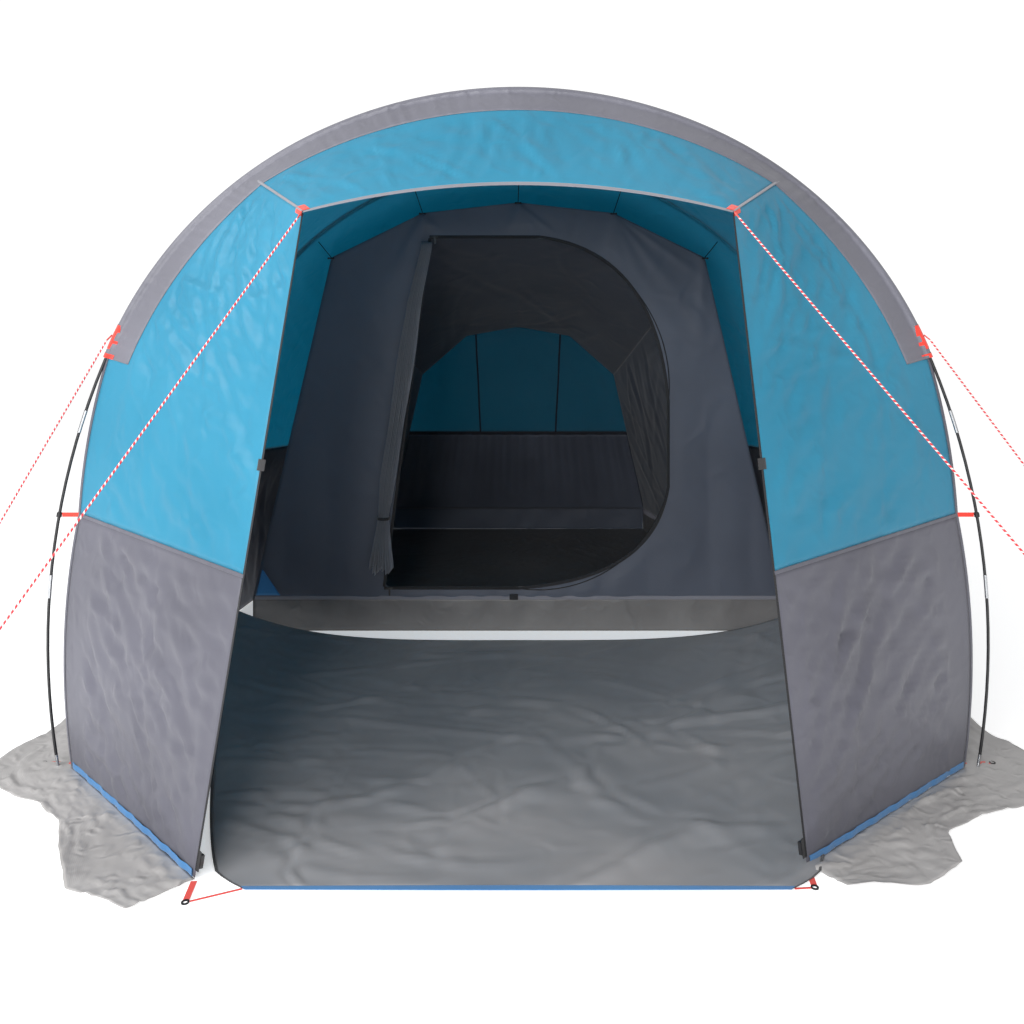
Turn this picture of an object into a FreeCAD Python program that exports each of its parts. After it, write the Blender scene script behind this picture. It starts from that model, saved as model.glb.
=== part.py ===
"""Four-person tunnel tent: three sectional hoops, fly with an open porch, hung inner tent.

Axes: +X to the right of someone facing the doorway, +Y to the rear, +Z up, ground at z = 0.
Everything is worked out with y = 0 in the plane of the front hoop, and every sub-part then
gets the same Placement, which centres the pitched tent on the origin.
"""
import FreeCAD, Part
import math
import os

V = FreeCAD.Vector

SIZES = [
    # hoops
    ("hoop_height", 2200, "front and middle hoop, crown of the pole's centreline"),
    ("hoop_half_width", 1526, "front and middle hoop at the widest"),
    ("hoop_widest_height", 400, "height at which the legs stand widest"),
    ("crown_radius", 1528, "bend of the crown"),
    ("crown_angle", 25, "degrees from the top to the end of the crown arc"),
    ("shoulder_radius", 1369.404, "bend of the shoulders; the legs' bend follows from it"),
    ("rear_height", 1640, "rear hoop, crown"),
    ("rear_half_width", 1310, "rear hoop at the widest"),
    ("rear_widest_height", 330, "rear hoop, height at which it is widest"),
    ("rear_crown_radius", 1330, "rear hoop, bend of the crown"),
    ("rear_shoulder_radius", 1295.218, "rear hoop, bend of the shoulders"),
    ("middle_spacing", 1310, "front hoop to middle hoop"),
    ("rear_spacing", 1790, "middle hoop to rear hoop"),
    ("pole_radius", 4.75, "fibreglass tube, outside"),
    ("pole_bore_radius", 2.3, "fibreglass tube, bore"),
    ("shock_cord_radius", 2.0, "elastic cord inside the tube"),
    ("section_length", 550, "one fibreglass section"),
    ("ferrule_length", 75, "steel sleeve over each joint"),
    ("ferrule_wall", 0.7, "wall of the steel sleeve"),
    ("fit_gap", 0.2, "radial clearance of a sleeve on its tube"),
    ("tip_length", 42, "steel end piece of a pole"),
    ("foot_height", 3.3, "centre of the pole's end above the ground"),
    # fly
    ("fabric", 2.0, "stand-in thickness of a coated fabric panel"),
    ("seat_gap", 0.3, "between two pieces that lie on each other"),
    ("seam_gap", 0.15, "each panel stops this far from the line of its seam"),
    ("edge_gap", 1.3, "a sleeve's stitched edges above the panels under them"),
    ("hem_height", 4.0, "lower edge of the walls above the ground"),
    ("sleeve_end_height", 1330, "front and middle sleeves end here"),
    ("rear_sleeve_end", 950, "rear sleeves end here"),
    ("seam_height", 820, "colour seam of the walls at the front and middle hoops"),
    ("rear_seam_height", 700, "colour seam at the rear hoop"),
    ("wall_gap_clip", 60, "fly wall inside the pole at the clip"),
    ("wall_gap_base", 40, "fly wall inside the pole at the ground"),
    ("awning_seam", 930, "along the hoop from the crown to the awning's side seam"),
    ("rear_awning_seam", 1000, "the same station on the rear hoop"),
    ("peak_half_width", 617, "awning's lower corners from the middle"),
    ("peak_height", 1760, "awning's lower corners"),
    ("awning_reach", 340, "awning's hem in front of the front hoop"),
    ("hem_rise", 80, "hem's middle above its corners"),
    ("corner_left", 835, "left foot of the doorway from the middle"),
    ("corner_right", 765, "right foot of the doorway from the middle"),
    ("corner_reach_left", 600, "left foot of the doorway in front of the front hoop"),
    ("corner_reach_right", 540, "right foot of the doorway in front of the front hoop"),
    ("door_seam_height", 750, "colour seam at the doorway"),
    ("sleeve_band", 112, "grey band in front of the front hoop"),
    ("sleeve_lap", 28, "sleeve fabric on each side of a pole"),
    ("rear_reach", 650, "rear base in line behind the rear hoop"),
    ("rear_corner", 900, "rear corners from the middle"),
    ("skirt_width", 200, "mud skirt on the ground"),
    ("skirt_fabric", 2.0, "stand-in thickness of a mud skirt"),
    ("trim_width", 17, "blue trim on the foot of each wing"),
    ("trim_fabric", 1.2, "thickness of that trim"),
    ("piping_width", 7, "piping along the awning's hem"),
    # front door
    ("tape_width", 16, "zip tape"),
    ("tape_thickness", 1.2, "zip tape"),
    ("coil_radius", 2.2, "zip coil"),
    ("slider_length", 32, "zip slider"),
    ("slider_width", 13, "zip slider"),
    ("slider_depth", 9, "zip slider"),
    ("slider_clearance", 0.3, "slider to tape and coil"),
    ("pull_length", 48, "pull tab"),
    ("door_roll_radius", 40, "front door, rolled up under the awning"),
    # vent
    ("hood_reach", 190, "vent hood from its hinge to its brim"),
    ("hood_tilt", 35, "degrees, hood from the rear panel"),
    ("brim_radius", 3, "wire brim of the hood"),
    # inner tent
    ("inner_setback", 20, "inner front wall behind the middle hoop"),
    ("inner_half_floor", 1250, "floor at the front"),
    ("inner_half_floor_rear", 890, "floor at the rear"),
    ("tub_height", 156, "upturned edge of the floor"),
    ("eave_half", 880, "inner side wall's top from the middle"),
    ("eave_height", 1760, "inner side wall's top"),
    ("ridge_half", 450, "inner ceiling's facet"),
    ("ridge_height", 1970, "inner ceiling's facet"),
    ("inner_height", 2020, "inner ceiling, middle"),
    ("rear_eave_half", 640, "same at the rear"),
    ("rear_eave_height", 1120, "same at the rear"),
    ("rear_ridge_half", 340, "same at the rear"),
    ("rear_ridge_height", 1380, "same at the rear"),
    ("inner_rear_height", 1440, "same at the rear"),
    ("inner_depth", 1690, "inner front wall to the top of the inner rear wall"),
    ("inner_rear_slant", 500, "inner rear wall's foot behind its top"),
    ("inner_zip_radius", 2.5, "zip around the inner door"),
    ("inner_slider_length", 26, "inner zip slider"),
    ("hanger_radius", 2.0, "cord that hangs the inner tent"),
    # vestibule groundsheet
    ("sheet_front", 640, "front edge in front of the front hoop"),
    ("sheet_front_half", 700, "half of its front edge"),
    ("sheet_rear", 1200, "rear edge behind the front hoop"),
    ("sheet_rear_half", 1290, "half of its rear edge"),
    ("sheet_lift", 140, "rear corners turned up against the walls"),
    # hardware
    ("clip_height", 14, "pole clip"),
    ("clip_wall", 3, "pole clip"),
    ("web_width", 20, "webbing"),
    ("web_thickness", 1.4, "webbing"),
    ("eyelet_bore", 6, "radius of the hole in a peg eyelet"),
    ("eyelet_ring", 4, "breadth of a peg eyelet around its hole"),
    ("eyelet_thickness", 3, "peg eyelet"),
    ("rope_radius", 2.75, "guy rope"),
    ("runner_length", 42, "guy runner"),
    ("runner_width", 15, "guy runner"),
    ("runner_depth", 10, "guy runner"),
    ("runner_clearance", 0.08, "guy runner on its rope"),
    ("peg_radius", 3.5, "guy peg"),
    ("peg_height", 40, "guy peg above the ground"),
    ("loop_length", 24, "webbing loop that a guy is tied to"),
]

doc = FreeCAD.newDocument("tunnel_tent")
sheet = doc.addObject("Spreadsheet::Sheet", "sizes")
for row, (alias, value, note) in enumerate(SIZES, 1):
    sheet.set("A%d" % row, note)
    sheet.set("B%d" % row, str(value))
    sheet.setAlias("B%d" % row, alias)
doc.recompute()
NODES = []


def size(alias):
    """A driving dimension, read back from the sheet."""
    return float(sheet.get(alias))


def keep(item, label):
    """Register a document object as a sub-part under its own label."""
    item.Label = label
    NODES.append(item)
    return item


def feature(label, shapes):
    """A sub-part made of one or more closed solids."""
    item = doc.addObject("Part::Feature", label)
    item.Shape = shapes[0] if len(shapes) == 1 else Part.makeCompound(shapes)
    return keep(item, label)


def bind(item, **formulas):
    """Bind an object's sizes to the sheet."""
    for name, formula in formulas.items():
        item.setExpression(name, formula)
    return item


def mix(p, q, f):
    """The point a share f of the way from p to q."""
    return p + (q - p) * f


def unit(p):
    return p * (1.0 / p.Length)


# ---------------------------------------------------------------- hoop profile
class Hoop:
    """Half a hoop: crown, shoulder and leg arcs, each tangent to the next.

    Lengths run along the centreline from the top towards the ground.
    """

    def __init__(self, y, height, half_width, widest, crown_radius, crown_angle, shoulder_radius):
        self.y = y
        angle = math.radians(crown_angle)
        crown = (0.0, height - crown_radius)
        reach = crown_radius - shoulder_radius
        shoulder = (reach * math.sin(angle), crown[1] + reach * math.cos(angle))
        # the leg arc is vertical at the widest place and touches the shoulder arc inside
        aside, above = shoulder[0] - half_width, shoulder[1] - widest
        leg_radius = ((shoulder_radius ** 2 - aside ** 2 - above ** 2)
                      / (2 * (aside + shoulder_radius)))
        leg = (half_width - leg_radius, widest)
        turn = math.atan2(shoulder[0] - leg[0], shoulder[1] - leg[1])
        foot = math.pi / 2 + math.asin((widest - size("foot_height")) / leg_radius)
        self.arcs = [(crown, crown_radius, 0.0, angle),
                     (shoulder, shoulder_radius, angle, turn),
                     (leg, leg_radius, turn, foot)]
        self.breaks = [0.0]
        for centre, radius, first, last in self.arcs:
            self.breaks.append(self.breaks[-1] + radius * (last - first))
        self.length = self.breaks[-1]
        print("hoop at y %.0f: leg radius %.0f, pole length %.0f"
              % (y, leg_radius, 2 * self.length))

    def at(self, run, inward=0.0):
        """Point (x, z) at a length from the crown, moved inward by a distance."""
        index = 2 if run > self.breaks[2] else 1 if run > self.breaks[1] else 0
        centre, radius, first, last = self.arcs[index]
        angle = first + (run - self.breaks[index]) / radius
        reach = radius - inward
        return centre[0] + reach * math.sin(angle), centre[1] + reach * math.cos(angle)

    def point(self, run):
        """Centreline point; a negative length is on the left half."""
        x, z = self.at(abs(run))
        return V(math.copysign(x, run), self.y, z)

    def run_at_height(self, z):
        """Length from the crown at which the centreline is at height z."""
        low, high = 0.0, self.length
        for step in range(50):
            middle = (low + high) / 2
            if self.at(middle)[1] > z:
                low = middle
            else:
                high = middle
        return (low + high) / 2

    def wire(self, first, last, marks=()):
        """Centreline between two lengths, as tangent arcs, also divided at the marks."""
        cuts = [-self.breaks[2], -self.breaks[1], self.breaks[1], self.breaks[2]]
        cuts += [mark for mark in marks if min(abs(mark - cut) for cut in cuts) > 1]
        stops = [first] + [cut for cut in sorted(cuts) if first + 1 < cut < last - 1] + [last]
        edges = []
        for start, end in zip(stops, stops[1:]):
            arc = Part.Arc(self.point(start), self.point((start + end) / 2), self.point(end))
            edges.append(arc.toShape())
        return Part.Wire(edges)

    def tube(self, first, last, radius, marks=()):
        """Round bar along the centreline."""
        start, beside = self.point(first), self.point(first + 0.5)
        ring = Part.Wire([Part.makeCircle(radius, start, unit(beside - start))])
        return self.wire(first, last, marks).makePipeShell([ring], True, False)


def crowned(y, prefix, bends):
    """Hoop from the sheet's sizes; bends is the prefix of its crown's and shoulder's radius."""
    return Hoop(y, size(prefix + "_height"), size(prefix + "_half_width"),
                size(prefix + "_widest_height"), size(bends + "crown_radius"),
                size("crown_angle"), size(bends + "shoulder_radius"))


MIDDLE_Y = size("middle_spacing")
REAR_Y = MIDDLE_Y + size("rear_spacing")
FRONT = crowned(0.0, "hoop", "")
MIDDLE = crowned(MIDDLE_Y, "hoop", "")
REAR = crowned(REAR_Y, "rear", "rear_")
HOOPS = [("front", FRONT), ("middle", MIDDLE), ("rear", REAR)]

# ---------------------------------------------------------------- poles
pole = size("pole_radius")
sleeve_in = pole + size("fit_gap")
ferrule = sleeve_in + size("ferrule_wall")
ferrules, cords, tips = [], [], []
for name, hoop in HOOPS:
    end = hoop.run_at_height(size("tip_length"))
    count = round(2 * end / size("section_length"))
    step = 2 * end / count
    stops = [-end + step * i for i in range(count + 1)]
    gap = size("seat_gap") / 2
    sections = []
    for start, stop in zip(stops, stops[1:]):
        outer = hoop.tube(start + gap, stop - gap, pole)
        bore = hoop.tube(start + gap - 1, stop - gap + 1, size("pole_bore_radius"))
        sections.append(outer.cut(bore))
    feature(name + "_hoop_sections", sections)
    half = size("ferrule_length") / 2
    for joint in stops[1:-1]:
        outer = hoop.tube(joint - half, joint + half, ferrule)
        bore = hoop.tube(joint - half - 1, joint + half + 1, sleeve_in)
        ferrules.append(outer.cut(bore))
    cords.append(hoop.tube(-end + gap, end - gap, size("shock_cord_radius"), stops))
    foot = hoop.length
    tips.append(hoop.tube(end + gap, foot, pole))
    tips.append(hoop.tube(-foot, -end - gap, pole))
feature("pole_ferrules", ferrules)
feature("shock_cords", cords)
feature("pole_tips", tips)


# ---------------------------------------------------------------- fabric sheets
def sheet_solid(outer, inner, holes=()):
    """Closed solid between two grids of points, leaving out the cells in holes."""
    rows, cols = len(outer), len(outer[0])
    points = [p for line in outer for p in line] + [p for line in inner for p in line]
    under = rows * cols
    triangles = []
    for i in range(rows - 1):
        for j in range(cols - 1):
            if (i, j) in holes:
                continue
            a, b = i * cols + j, i * cols + j + 1
            c, d = a + cols, b + cols
            triangles += [(a, b, d), (a, d, c)]
    edges = {}
    for a, b, c in triangles:
        for start, end in ((a, b), (b, c), (c, a)):
            edges[(start, end)] = True
    faces = list(triangles)
    faces += [(a + under, c + under, b + under) for a, b, c in triangles]
    for start, end in edges:
        if (end, start) not in edges:
            faces += [(start, start + under, end + under), (start, end + under, end)]
    shell = []
    for face in faces:
        a, b, c = [points[index] for index in face]
        if (b - a).cross(c - a).Length > 1e-3:
            shell.append(Part.Face(Part.makePolygon([a, b, c, a])))
    solid = Part.makeSolid(Part.makeShell(shell))
    if solid.Volume < 0:
        solid.reverse()
    return solid


def strap(start, end, across, thickness, width):
    """Flat webbing between two points; across is the direction of its width."""
    along = end - start
    wide = unit(across - unit(along) * across.dot(unit(along)))
    up = unit(along.cross(wide))
    corner = start - wide * (width / 2) - up * (thickness / 2)
    box = Part.makeBox(width, thickness, along.Length)
    frame = FreeCAD.Matrix(wide.x, up.x, unit(along).x, corner.x,
                           wide.y, up.y, unit(along).y, corner.y,
                           wide.z, up.z, unit(along).z, corner.z, 0, 0, 0, 1)
    if frame.determinant() < 0:
        raise ValueError("a strap's frame is left-handed")
    box.Placement = FreeCAD.Placement(frame)
    return box


FABRIC = size("fabric")
SEAM = size("seam_gap")
LIFT = size("seat_gap")
HEM = size("hem_height")
EDGE_GAP = size("edge_gap")
POLE_SEAT = ferrule + size("seat_gap")
# stations along half a hoop: crown, awning seam, sleeve end, colour seam, ground
K_SEAM_S, K_SLEEVE, K_SEAM, K_BASE = 4, 9, 11, 13


def stations(hoop):
    """Lengths from the crown, or heights below the sleeve, of the fly's grid lines."""
    rear = hoop is REAR
    first = size("rear_awning_seam" if rear else "awning_seam")
    sleeve = size("rear_sleeve_end" if rear else "sleeve_end_height")
    seam = size("rear_seam_height" if rear else "seam_height")
    second = hoop.run_at_height(sleeve)
    runs = [("run", first * k / K_SEAM_S) for k in range(K_SEAM_S)]
    span = K_SLEEVE - K_SEAM_S
    runs += [("run", first + (second - first) * k / span) for k in range(span)]
    runs += [("height", sleeve + (seam - sleeve) * k / 2) for k in range(2)]
    runs += [("height", seam + (HEM - seam) * k / 2) for k in range(3)]
    return runs


for hoop in (FRONT, MIDDLE, REAR):
    hoop.stations = stations(hoop)


def station(hoop, k):
    """Kind and value of a station; k may lie between two grid lines."""
    low = min(int(k), K_BASE - 1)
    kind, first = hoop.stations[low]
    last = hoop.stations[low + 1][1]
    if kind == "run" and hoop.stations[low + 1][0] == "height":
        last = hoop.run_at_height(last)
    return kind, first + (last - first) * (k - low)


def fly_point(hoop, side, k, depth):
    """Fly surface in a hoop's plane; depth is measured inward from the outside."""
    kind, value = station(hoop, k)
    if kind == "run":
        x, z = hoop.at(value, POLE_SEAT + depth)
        return V(side * x, hoop.y, z)
    sleeve, seam = hoop.stations[K_SLEEVE][1], hoop.stations[K_SEAM][1]
    if value > seam:
        slack = size("wall_gap_clip") * (sleeve - value) / (sleeve - seam)
    else:
        slack = (size("wall_gap_base")
                 + (size("wall_gap_clip") - size("wall_gap_base")) * value / seam)
    x = hoop.at(hoop.run_at_height(value))[0] - POLE_SEAT - slack - depth
    return V(side * x, hoop.y, value)


def bay_point(side, k, y, depth):
    """Fly surface between two hoops, straight from one to the next."""
    first, last = (FRONT, MIDDLE) if y <= MIDDLE.y else (MIDDLE, REAR)
    share = (y - first.y) / (last.y - first.y)
    return mix(fly_point(first, side, k, depth), fly_point(last, side, k, depth), share)


def grid_lines(first_k, last_k):
    """Stations between two of them: half steps where the fly is round, whole steps below."""
    fine = [k / 2 for k in range(2 * first_k, 2 * min(last_k, K_SLEEVE))]
    return fine + list(range(max(first_k, min(last_k, K_SLEEVE)), last_k + 1))


def across(last_k):
    """(side, k) from the left edge over the crown to the right edge."""
    half = grid_lines(0, last_k)
    return [(-1, k) for k in reversed(half[1:])] + [(1, k) for k in half]


def panel(point, columns, rows, holes=()):
    """Sheet from a function point(column, row, depth)."""
    grids = []
    for depth in (0.0, FABRIC):
        grids.append([[point(column, row, depth) for column in columns] for row in rows])
    return sheet_solid(grids[0], grids[1], holes)


def even(first, last, count):
    return [first + (last - first) * i / count for i in range(count + 1)]


# roofs and side walls of the two bays
for label, first, last in (("fly_roof_front", 0.0, MIDDLE_Y), ("fly_roof_rear", MIDDLE_Y, REAR_Y)):
    rows = even(first + SEAM, last - SEAM, 2)
    shape = panel(lambda c, y, d: bay_point(c[0], c[1], y, d), across(K_SEAM), rows)
    feature(label, [shape])
for label, side in (("fly_wall_left", -1), ("fly_wall_right", 1)):
    walls = []
    columns = [K_SEAM + 0.002, K_SEAM + 1, K_BASE]
    for first, last in ((0.0, MIDDLE_Y), (MIDDLE_Y, REAR_Y)):
        rows = even(first + SEAM, last - SEAM, 2)
        walls.append(panel(lambda k, y, d: bay_point(side, k, y, d), columns, rows))
    feature(label, walls)


# ---------------------------------------------------------------- front of the porch
def corner(side):
    """Foot of the doorway's zip."""
    name = "right" if side > 0 else "left"
    return V(side * size("corner_" + name), -size("corner_reach_" + name), HEM)


def peak(side):
    return V(side * size("peak_half_width"), -size("awning_reach"), size("peak_height"))


def hem_point(share):
    """Awning's hem: a shallow arch; share runs from -1 at the left peak to 1."""
    return V(share * size("peak_half_width"), -size("awning_reach"),
             size("peak_height") + size("hem_rise") * (1 - share * share))


def front_edge(side, k, depth):
    """Front boundary that station k's line runs to: hem above, zip line below."""
    back = unit(V(-0.4 * side, 0.8, -0.45)) * depth
    if k <= K_SEAM_S:
        share = k / K_SEAM_S
        back = unit(V(-0.4 * side * share, 0.8, -0.45)) * depth
        return hem_point(side * share) + back
    seam_share = 1 - size("door_seam_height") / size("peak_height")
    marks = [(K_SEAM_S, 0.0), (K_SLEEVE, seam_share * 0.56), (K_SEAM, seam_share), (K_BASE, 1.0)]
    for (k0, s0), (k1, s1) in zip(marks, marks[1:]):
        if k <= k1:
            return mix(peak(side), corner(side), s0 + (s1 - s0) * (k - k0) / (k1 - k0)) + back
    return corner(side) + back


def porch_point(side, k, share, depth):
    """Porch surface, straight from the front hoop to the front boundary."""
    start = fly_point(FRONT, side, k, depth)
    return mix(start, front_edge(side, k, depth), share)


first_share = 0.0006
awning_columns = across(K_SEAM_S)
awning_columns[0] = (-1, K_SEAM_S - 0.001)
awning_columns[-1] = (1, K_SEAM_S - 0.001)
shares = [first_share, 0.33, 0.67, 1.0]
feature("awning", [panel(lambda c, s, d: porch_point(c[0], c[1], s, d), awning_columns, shares)])
for name, side in (("left", -1), ("right", 1)):
    shares = [first_share, 0.25, 0.5, 0.75, 1.0]
    upper = [K_SEAM_S + 0.001] + grid_lines(K_SEAM_S, K_SEAM)[1:-1] + [K_SEAM - 0.001]
    lower = [K_SEAM + 0.001, K_SEAM + 1, K_BASE]
    for label, ks in (("wing_upper_", upper), ("wing_lower_", lower)):
        shape = panel(lambda k, s, d: porch_point(side, k, s, d), ks, shares)
        feature(label + name, [shape])


def piping_point(column, drop, depth):
    side, k = column
    return front_edge(side, k, depth - FABRIC / 2) - V(0, 0, LIFT + drop)


feature("awning_piping", [panel(piping_point, awning_columns, [0.0, size("piping_width")])])


# ---------------------------------------------------------------- rear of the fly
def rear_line(side, k, z, depth):
    """Rear panel at height z: straight across to the corner, then to the rear hoop's leg."""
    back = REAR_Y + size("rear_reach") * (1 - z / size("rear_height"))
    corner_point = V(side * size("rear_corner"), back, z)
    if k <= K_SEAM_S:
        share = k / K_SEAM_S
        inward = unit(V(-0.5 * side * share, -0.9, -0.3)) * depth
        return V(corner_point.x * share, back, z) + inward
    share = (k - K_SEAM_S) / (K_SEAM - K_SEAM_S)
    leg_k = K_SEAM + (K_BASE - K_SEAM) * (1 - (z - HEM) / (size("rear_seam_height") - HEM))
    leg_k = min(max(leg_k, K_SEAM), K_BASE)
    leg = fly_point(REAR, side, leg_k, 0.0)
    leg.z = z
    inward = unit(V(-0.5 * side, -0.9 * (1 - share), -0.3 * (1 - share))) * depth
    return mix(corner_point, leg, share) + inward


def rear_upper_point(column, share, depth):
    side, k = column
    top = fly_point(REAR, side, k, depth)
    low = rear_line(side, k, size("rear_seam_height") + 2 * SEAM, depth)
    return mix(top, low, share)


def rear_lower_point(column, z, depth):
    side, k = column
    point = rear_line(side, k, z, depth)
    point.y += SEAM * 2 * k / K_SEAM
    return point


upper_columns = across(K_SEAM)
upper_columns[0] = (-1, K_SEAM - 0.12)
upper_columns[-1] = (1, K_SEAM - 0.12)
VENT_ROWS = (0.05, 0.21)
upper_shares = [2 * first_share, VENT_ROWS[0], VENT_ROWS[1], 0.6, 1.0]
vent_cells = {(1, j) for j in range(len(upper_columns) - 1)
              if max(upper_columns[j][1], upper_columns[j + 1][1]) <= 1}
feature("rear_panel_upper", [panel(rear_upper_point, upper_columns, upper_shares, vent_cells)])
lower_heights = [HEM, size("rear_seam_height") / 2, size("rear_seam_height")]
feature("rear_panel_lower",
        [panel(rear_lower_point, across(K_SEAM), list(reversed(lower_heights)))])

# mesh behind the vent's window, a seat gap inside the rear panel
vent_columns = [(-1, 1), (-1, 0.5), (1, 0), (1, 0.5), (1, 1)]


def vent_point(column, share, depth):
    return rear_upper_point(column, share, FABRIC + LIFT + depth / 2)


feature("vent_mesh", [panel(vent_point, vent_columns, list(VENT_ROWS))])

# hood over the vent: a stiffened flap on a hinge above the window, with a wire brim
panel_top = rear_upper_point((1, 0), VENT_ROWS[0] - 0.03, 0.0)
panel_low = rear_upper_point((1, 0), VENT_ROWS[1], 0.0)
slope = unit(panel_low - panel_top)
outward = V(0, -slope.z, slope.y)
tilt = math.radians(size("hood_tilt"))
hood_way = slope * math.cos(tilt) + outward * math.sin(tilt)
hood_half = rear_upper_point((1, 1), VENT_ROWS[0], 0.0).x + 12
hinge = panel_top + outward * (FABRIC / 2 + LIFT + 0.4) + slope * 8
hood_end = hinge + hood_way * size("hood_reach")
hood = strap(hinge, hood_end, V(1, 0, 0), FABRIC, 2 * hood_half)
hem = Part.makeCylinder(FABRIC / 2, 2 * hood_half, hinge - V(hood_half, 0, 0), V(1, 0, 0))
hood = hood.fuse(hem).removeSplitter()
brim_centre = hood_end + hood_way * (size("brim_radius") + LIFT)
brim = Part.makeCylinder(size("brim_radius"), 2 * hood_half,
                         brim_centre - V(hood_half, 0, 0), V(1, 0, 0))
feature("vent_hood", [hood, brim])
print("vent hinge %.2f %.2f, closes by %.0f degrees" % (hinge.y, hinge.z, size("hood_tilt")))


# ---------------------------------------------------------------- sleeves
def sagitta(hoop, k_last):
    """How far the grid's straight half steps cut inside the hoop's arcs."""
    worst = 0.0
    for k in range(k_last):
        step = (station(hoop, k + 1 - 1e-6)[1] - station(hoop, k)[1]) / 2
        worst = max(worst, step * step / (8 * min(arc[1] for arc in hoop.arcs)))
    return worst


def crest(hoop):
    """Inside of the sleeve above the pole's centreline, clear of the ferrules."""
    return ferrule + LIFT + sagitta(hoop, K_SLEEVE) + 0.5


def sleeve(hoop, front_row, back_row):
    """Fabric tunnel over a pole, lying on the fly in front of it and behind it."""
    top = POLE_SEAT + crest(hoop) + FABRIC * 0.75

    def point(column, row, depth):
        side, k = column
        lift = -(LIFT + FABRIC * 0.75) + depth * 0.75
        if row == "front":
            return front_row(side, k, lift - EDGE_GAP)
        if row == "back":
            return back_row(side, k, lift - EDGE_GAP)
        up = fly_point(hoop, side, k, depth * 0.75 - top)
        return up + V(0, row * ferrule * 1.5, 0)

    columns = across(K_SLEEVE)
    columns[0] = (-1, K_SLEEVE - 0.01)
    columns[-1] = (1, K_SLEEVE - 0.01)
    return panel(point, columns, ["front", -1, 1, "back"])


def band_edge(side, k, depth):
    start = fly_point(FRONT, side, k, 0)
    reach = (front_edge(side, k, 0) - start).Length
    return porch_point(side, k, size("sleeve_band") / reach, depth)


lap = size("sleeve_lap")
feature("front_sleeve", [sleeve(FRONT, band_edge, lambda s, k, d: bay_point(s, k, lap, d))])
feature("middle_sleeve", [sleeve(MIDDLE, lambda s, k, d: bay_point(s, k, MIDDLE_Y - lap, d),
                                 lambda s, k, d: bay_point(s, k, MIDDLE_Y + lap, d))])


def behind_rear(side, k, depth):
    top = fly_point(REAR, side, k, 0)
    low = rear_line(side, k, size("rear_seam_height"), 0)
    return rear_upper_point((side, k), lap / (low - top).Length, depth)


feature("rear_sleeve", [sleeve(REAR, lambda s, k, d: bay_point(s, k, REAR_Y - lap, d),
                               behind_rear)])

# ---------------------------------------------------------------- base trim and mud skirts
trims = []
for side in (-1, 1):
    start = fly_point(FRONT, side, K_BASE, 0.0)
    end = corner(side)
    along = unit(end - start)
    out = unit(V(along.y, -along.x, 0)) * (-side)
    if out.x * side < 0:
        out = out.negative()
    rise = V(0, 0, size("trim_width") / 2)
    off = out * (LIFT + size("trim_fabric") / 2 + 0.6)
    trims.append(strap(start + along * 6 + off + rise, end - along * 6 + off + rise,
                       V(0, 0, 1), size("trim_fabric"), size("trim_width")))
feature("base_trim", trims)


def ground_sheet(inner_line, outer_line):
    """Flat fabric on the ground between two lines in plan."""
    rim = inner_line + list(reversed(outer_line))
    rim.append(rim[0])
    face = Part.Face(Part.makePolygon([V(x, y, 0) for x, y in rim]))
    return face.extrude(V(0, 0, size("skirt_fabric")))


def base_line(side):
    """The side's base in plan: doorway foot, front hoop, middle hoop, rear hoop."""
    points = [corner(side)]
    points += [fly_point(hoop, side, K_BASE, 0.0) for hoop in (FRONT, MIDDLE, REAR)]
    return [V(p.x, p.y, 0) for p in points]


def skirt(line, widths, side):
    """Skirt along a base line; each width is (share along the line, share of full width)."""
    lengths = [0.0]
    for p, q in zip(line, line[1:]):
        lengths.append(lengths[-1] + (q - p).Length)

    def at(share):
        run = share * lengths[-1]
        for i in range(len(line) - 1):
            if run <= lengths[i + 1] + 1e-6:
                way = unit(line[i + 1] - line[i])
                out = V(way.y, -way.x, 0) * side
                return line[i] + way * (run - lengths[i]), out
        return line[-1], out

    inner = [(p.x, p.y) for p in line]
    outer = []
    for share, width in widths:
        spot, out = at(share)
        place = spot + out * (width * size("skirt_width"))
        outer.append((place.x, place.y))
    return ground_sheet(inner, outer)


# the skirt's free edge wanders: share along the base, share of the full width
FREE_EDGE_LEFT = [(0.0, 0.9), (0.05, 1.25), (0.10, 1.0), (0.135, 0.75), (0.18, 0.8), (0.23, 1.3),
                  (0.30, 0.95), (0.42, 1.1), (0.55, 0.9), (0.68, 1.05), (0.8, 0.9), (0.92, 1.05),
                  (1.0, 0.85)]
FREE_EDGE_RIGHT = [(0.0, 0.6), (0.04, 1.2), (0.08, 1.3), (0.11, 0.8), (0.15, 0.85), (0.22, 1.35),
                   (0.29, 1.0), (0.4, 0.9), (0.53, 1.1), (0.66, 0.9), (0.8, 1.05), (0.9, 0.9),
                   (1.0, 0.9)]
FREE_EDGE_REAR = [(0.0, 0.85), (0.12, 1.05), (0.24, 1.15), (0.38, 0.9), (0.5, 1.05), (0.62, 0.9),
                  (0.76, 1.15), (0.88, 1.0), (1.0, 0.9)]
for label, side, edge in (("skirt_left", -1, FREE_EDGE_LEFT), ("skirt_right", 1, FREE_EDGE_RIGHT)):
    feature(label, [skirt(base_line(side), edge, side)])
rear_back = REAR_Y + size("rear_reach") + LIFT
rear_foot = fly_point(REAR, 1, K_BASE, 0.0).x
past_side = REAR_Y + 2 * LIFT
rear_base = [V(-rear_foot, past_side, 0), V(-size("rear_corner"), rear_back, 0),
             V(size("rear_corner"), rear_back, 0), V(rear_foot, past_side, 0)]
feature("skirt_rear", [skirt(rear_base, FREE_EDGE_REAR, -1)])


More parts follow.
